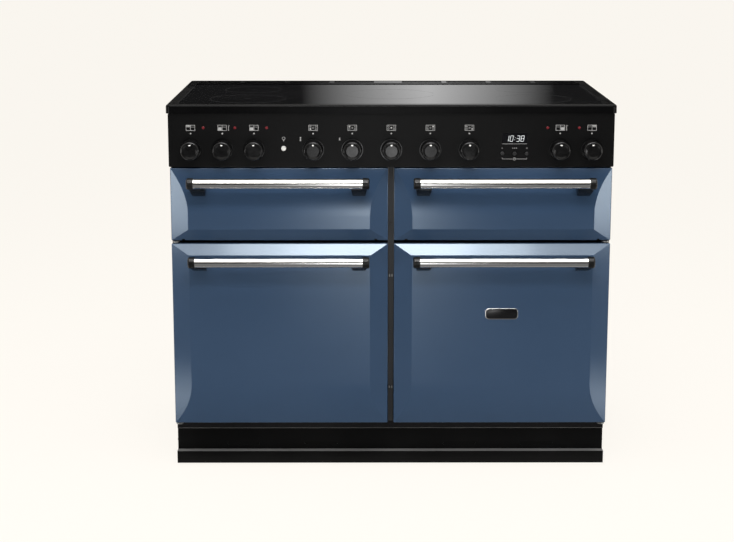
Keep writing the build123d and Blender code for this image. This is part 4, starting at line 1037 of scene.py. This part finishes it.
@dataclass
class Studio:
    """The pale floor and surround, the lamps, the dark cards and the camera."""

    cream: Colour = (1.0, 0.966, 0.908)
    floor_size: float = 60.0
    floor_glow: float = 0.92
    world_fill: float = 0.42
    camera_place: Point = (-0.0698, -4.2000, 1.3700)
    camera_pitch: float = 10.800
    camera_yaw: float = -0.152
    camera_lens: float = 79.62
    camera_shift: float = -0.06
    lamps: tuple[Softbox, ...] = (
        Softbox("top_core", (0.0, -2.3, 2.66), (0.0, -0.27, 0.75), (0.80, 0.46), 9.0),
        Softbox("top_mid", (0.0, -2.31, 2.67), (0.0, -0.27, 0.75), (1.30, 0.47), 9.0),
        Softbox("top_wide", (0.0, -2.32, 2.68), (0.0, -0.27, 0.75), (2.10, 0.48), 6.0),
        Softbox("ceiling", (0.0, -1.05, 3.2), (0.0, -1.05, 0.0), (3.0, 1.5), 4.5),
        Softbox("left_strip", (-2.7, -2.28, 0.47), (-0.5, -0.27, 0.47), (0.7, 0.9), 8.0),
        Softbox("right_strip", (2.7, -2.28, 0.47), (0.5, -0.27, 0.47), (0.7, 0.9), 8.0),
        Softbox("back_wash", (0.0, 1.6, 3.0), (0.0, 0.0, 0.8), (3.0, 1.0), 2.0),
    )
    flags: tuple[Flag, ...] = (
        Flag(
            "near_flag", (0.0, -0.62, 0.004), (1.44, 0.66),
            Facing.UP, level=0.18, patch=0.18,
            patch_place=(0.0, 0.0), patch_reach=(1.0, 1.0), patch_fade=1.0,
        ),
        Flag(
            "low_flag", (0.0, -2.975, 0.004), (6.6, 4.05),
            Facing.UP, level=0.18, patch=12.0,
            patch_place=(0.0, -2.025), patch_reach=(0.64, 5.5), patch_fade=3.0,
        ),
        Flag(
            "left_glow", (-0.97, -0.66, 0.005), (0.50, 0.62),
            Facing.UP, level=0.9, patch=4.0,
            patch_place=(0.0, 0.0), patch_reach=(0.30, 0.36), patch_fade=1.0,
        ),
        Flag(
            "right_glow", (0.97, -0.66, 0.005), (0.50, 0.62),
            Facing.UP, level=0.9, patch=4.0,
            patch_place=(0.0, 0.0), patch_reach=(0.30, 0.36), patch_fade=1.0,
        ),
        Flag(
            "front_flag", (0.0, -5.0, 1.2), (8.0, 2.4),
            Facing.FRONT, level=0.01, patch=11.0,
            patch_place=(0.0, -1.2), patch_reach=(0.64, 1.0), patch_fade=3.0,
        ),
        Flag(
            "back_flag", (0.0, 4.0, 1.6), (6.0, 1.3),
            Facing.FRONT, level=0.010, patch=0.8,
            patch_place=(0.26, -0.4), patch_reach=(0.64, 6.0), patch_fade=1.0,
        ),
    )

    def seen_rays(self, tree: bpy.types.NodeTree) -> bpy.types.NodeSocket:
        """Add the test for rays that show the surround: straight, mirrored or through glass.

        Args:
            tree: The node tree that it joins.

        Returns:
            The socket that is 1 for such a ray.
        """
        path = tree.nodes.new("ShaderNodeLightPath")
        either = tree.nodes.new("ShaderNodeMath")
        either.operation = "MAXIMUM"
        tree.links.new(path.outputs["Is Camera Ray"], either.inputs[0])
        tree.links.new(path.outputs["Is Glossy Ray"], either.inputs[1])
        any_of = tree.nodes.new("ShaderNodeMath")
        any_of.operation = "MAXIMUM"
        tree.links.new(either.outputs["Value"], any_of.inputs[0])
        tree.links.new(path.outputs["Is Transmission Ray"], any_of.inputs[1])
        return any_of.outputs["Value"]

    def floor(self) -> None:
        """Lay the floor, which glows to the eye and still takes the cooker's shadow."""
        mesh = bmesh.new()
        bmesh.ops.create_grid(mesh, x_segments=1, y_segments=1, size=self.floor_size)
        data = bpy.data.meshes.new("floor")
        mesh.to_mesh(data)
        mesh.free()
        paint = bpy.data.materials.new("floor_cream")
        paint.use_nodes = True
        tree = paint.node_tree
        tree.nodes.clear()
        out = tree.nodes.new("ShaderNodeOutputMaterial")
        matt = tree.nodes.new("ShaderNodeBsdfDiffuse")
        matt.inputs["Color"].default_value = (*self.cream, 1.0)
        glow = tree.nodes.new("ShaderNodeEmission")
        glow.inputs["Color"].default_value = (*self.cream, 1.0)
        share = tree.nodes.new("ShaderNodeMath")
        share.operation = "MULTIPLY"
        share.inputs[1].default_value = self.floor_glow
        tree.links.new(self.seen_rays(tree), share.inputs[0])
        blend = tree.nodes.new("ShaderNodeMixShader")
        tree.links.new(share.outputs["Value"], blend.inputs["Fac"])
        tree.links.new(matt.outputs["BSDF"], blend.inputs[1])
        tree.links.new(glow.outputs["Emission"], blend.inputs[2])
        tree.links.new(blend.outputs["Shader"], out.inputs["Surface"])
        data.materials.append(paint)
        ground = bpy.data.objects.new("floor", data)
        bpy.context.scene.collection.objects.link(ground)

    def surround(self) -> None:
        """Make the pale surround, dimmer as a light than it looks."""
        world = bpy.data.worlds.new("surround")
        bpy.context.scene.world = world
        world.use_nodes = True
        tree = world.node_tree
        sky = tree.nodes["Background"]
        sky.inputs["Color"].default_value = (*self.cream, 1.0)
        span = tree.nodes.new("ShaderNodeMapRange")
        span.inputs["To Min"].default_value = self.world_fill
        span.inputs["To Max"].default_value = self.floor_glow + (1.0 - self.floor_glow) * self.world_fill
        tree.links.new(self.seen_rays(tree), span.inputs["Value"])
        tree.links.new(span.outputs["Result"], sky.inputs["Strength"])

    def camera(self) -> None:
        """Stand the camera where the cooker is seen from."""
        lens = bpy.data.cameras.new("eye")
        lens.lens = self.camera_lens
        lens.shift_y = self.camera_shift
        eye = bpy.data.objects.new("eye", lens)
        eye.location = self.camera_place
        eye.rotation_euler = (math.radians(90.0 - self.camera_pitch), 0.0, math.radians(self.camera_yaw))
        bpy.context.scene.collection.objects.link(eye)
        bpy.context.scene.camera = eye

    def build(self) -> None:
        """Set up the whole studio."""
        self.floor()
        self.surround()
        for item in (*self.lamps, *self.flags):
            item.build()
        self.camera()
        bpy.context.scene.view_settings.view_transform = "Standard"


def main() -> None:
    """Dress the solids, add the new pieces and set up the studio."""
    logging.basicConfig(level=logging.INFO, format="%(name)s: %(message)s")
    workshop = Workshop()
    workshop.dress_solids()
    FasciaPrint(workshop).build()
    KnobMarks(workshop).build()
    TrimPlate(workshop).build()
    Fasteners(workshop).build()
    SlotShadePlates(workshop).build()
    EdgeHighlights(workshop).build()
    HobPrint(workshop).build()
    Studio().build()


if __name__ == "__main__":
    main()
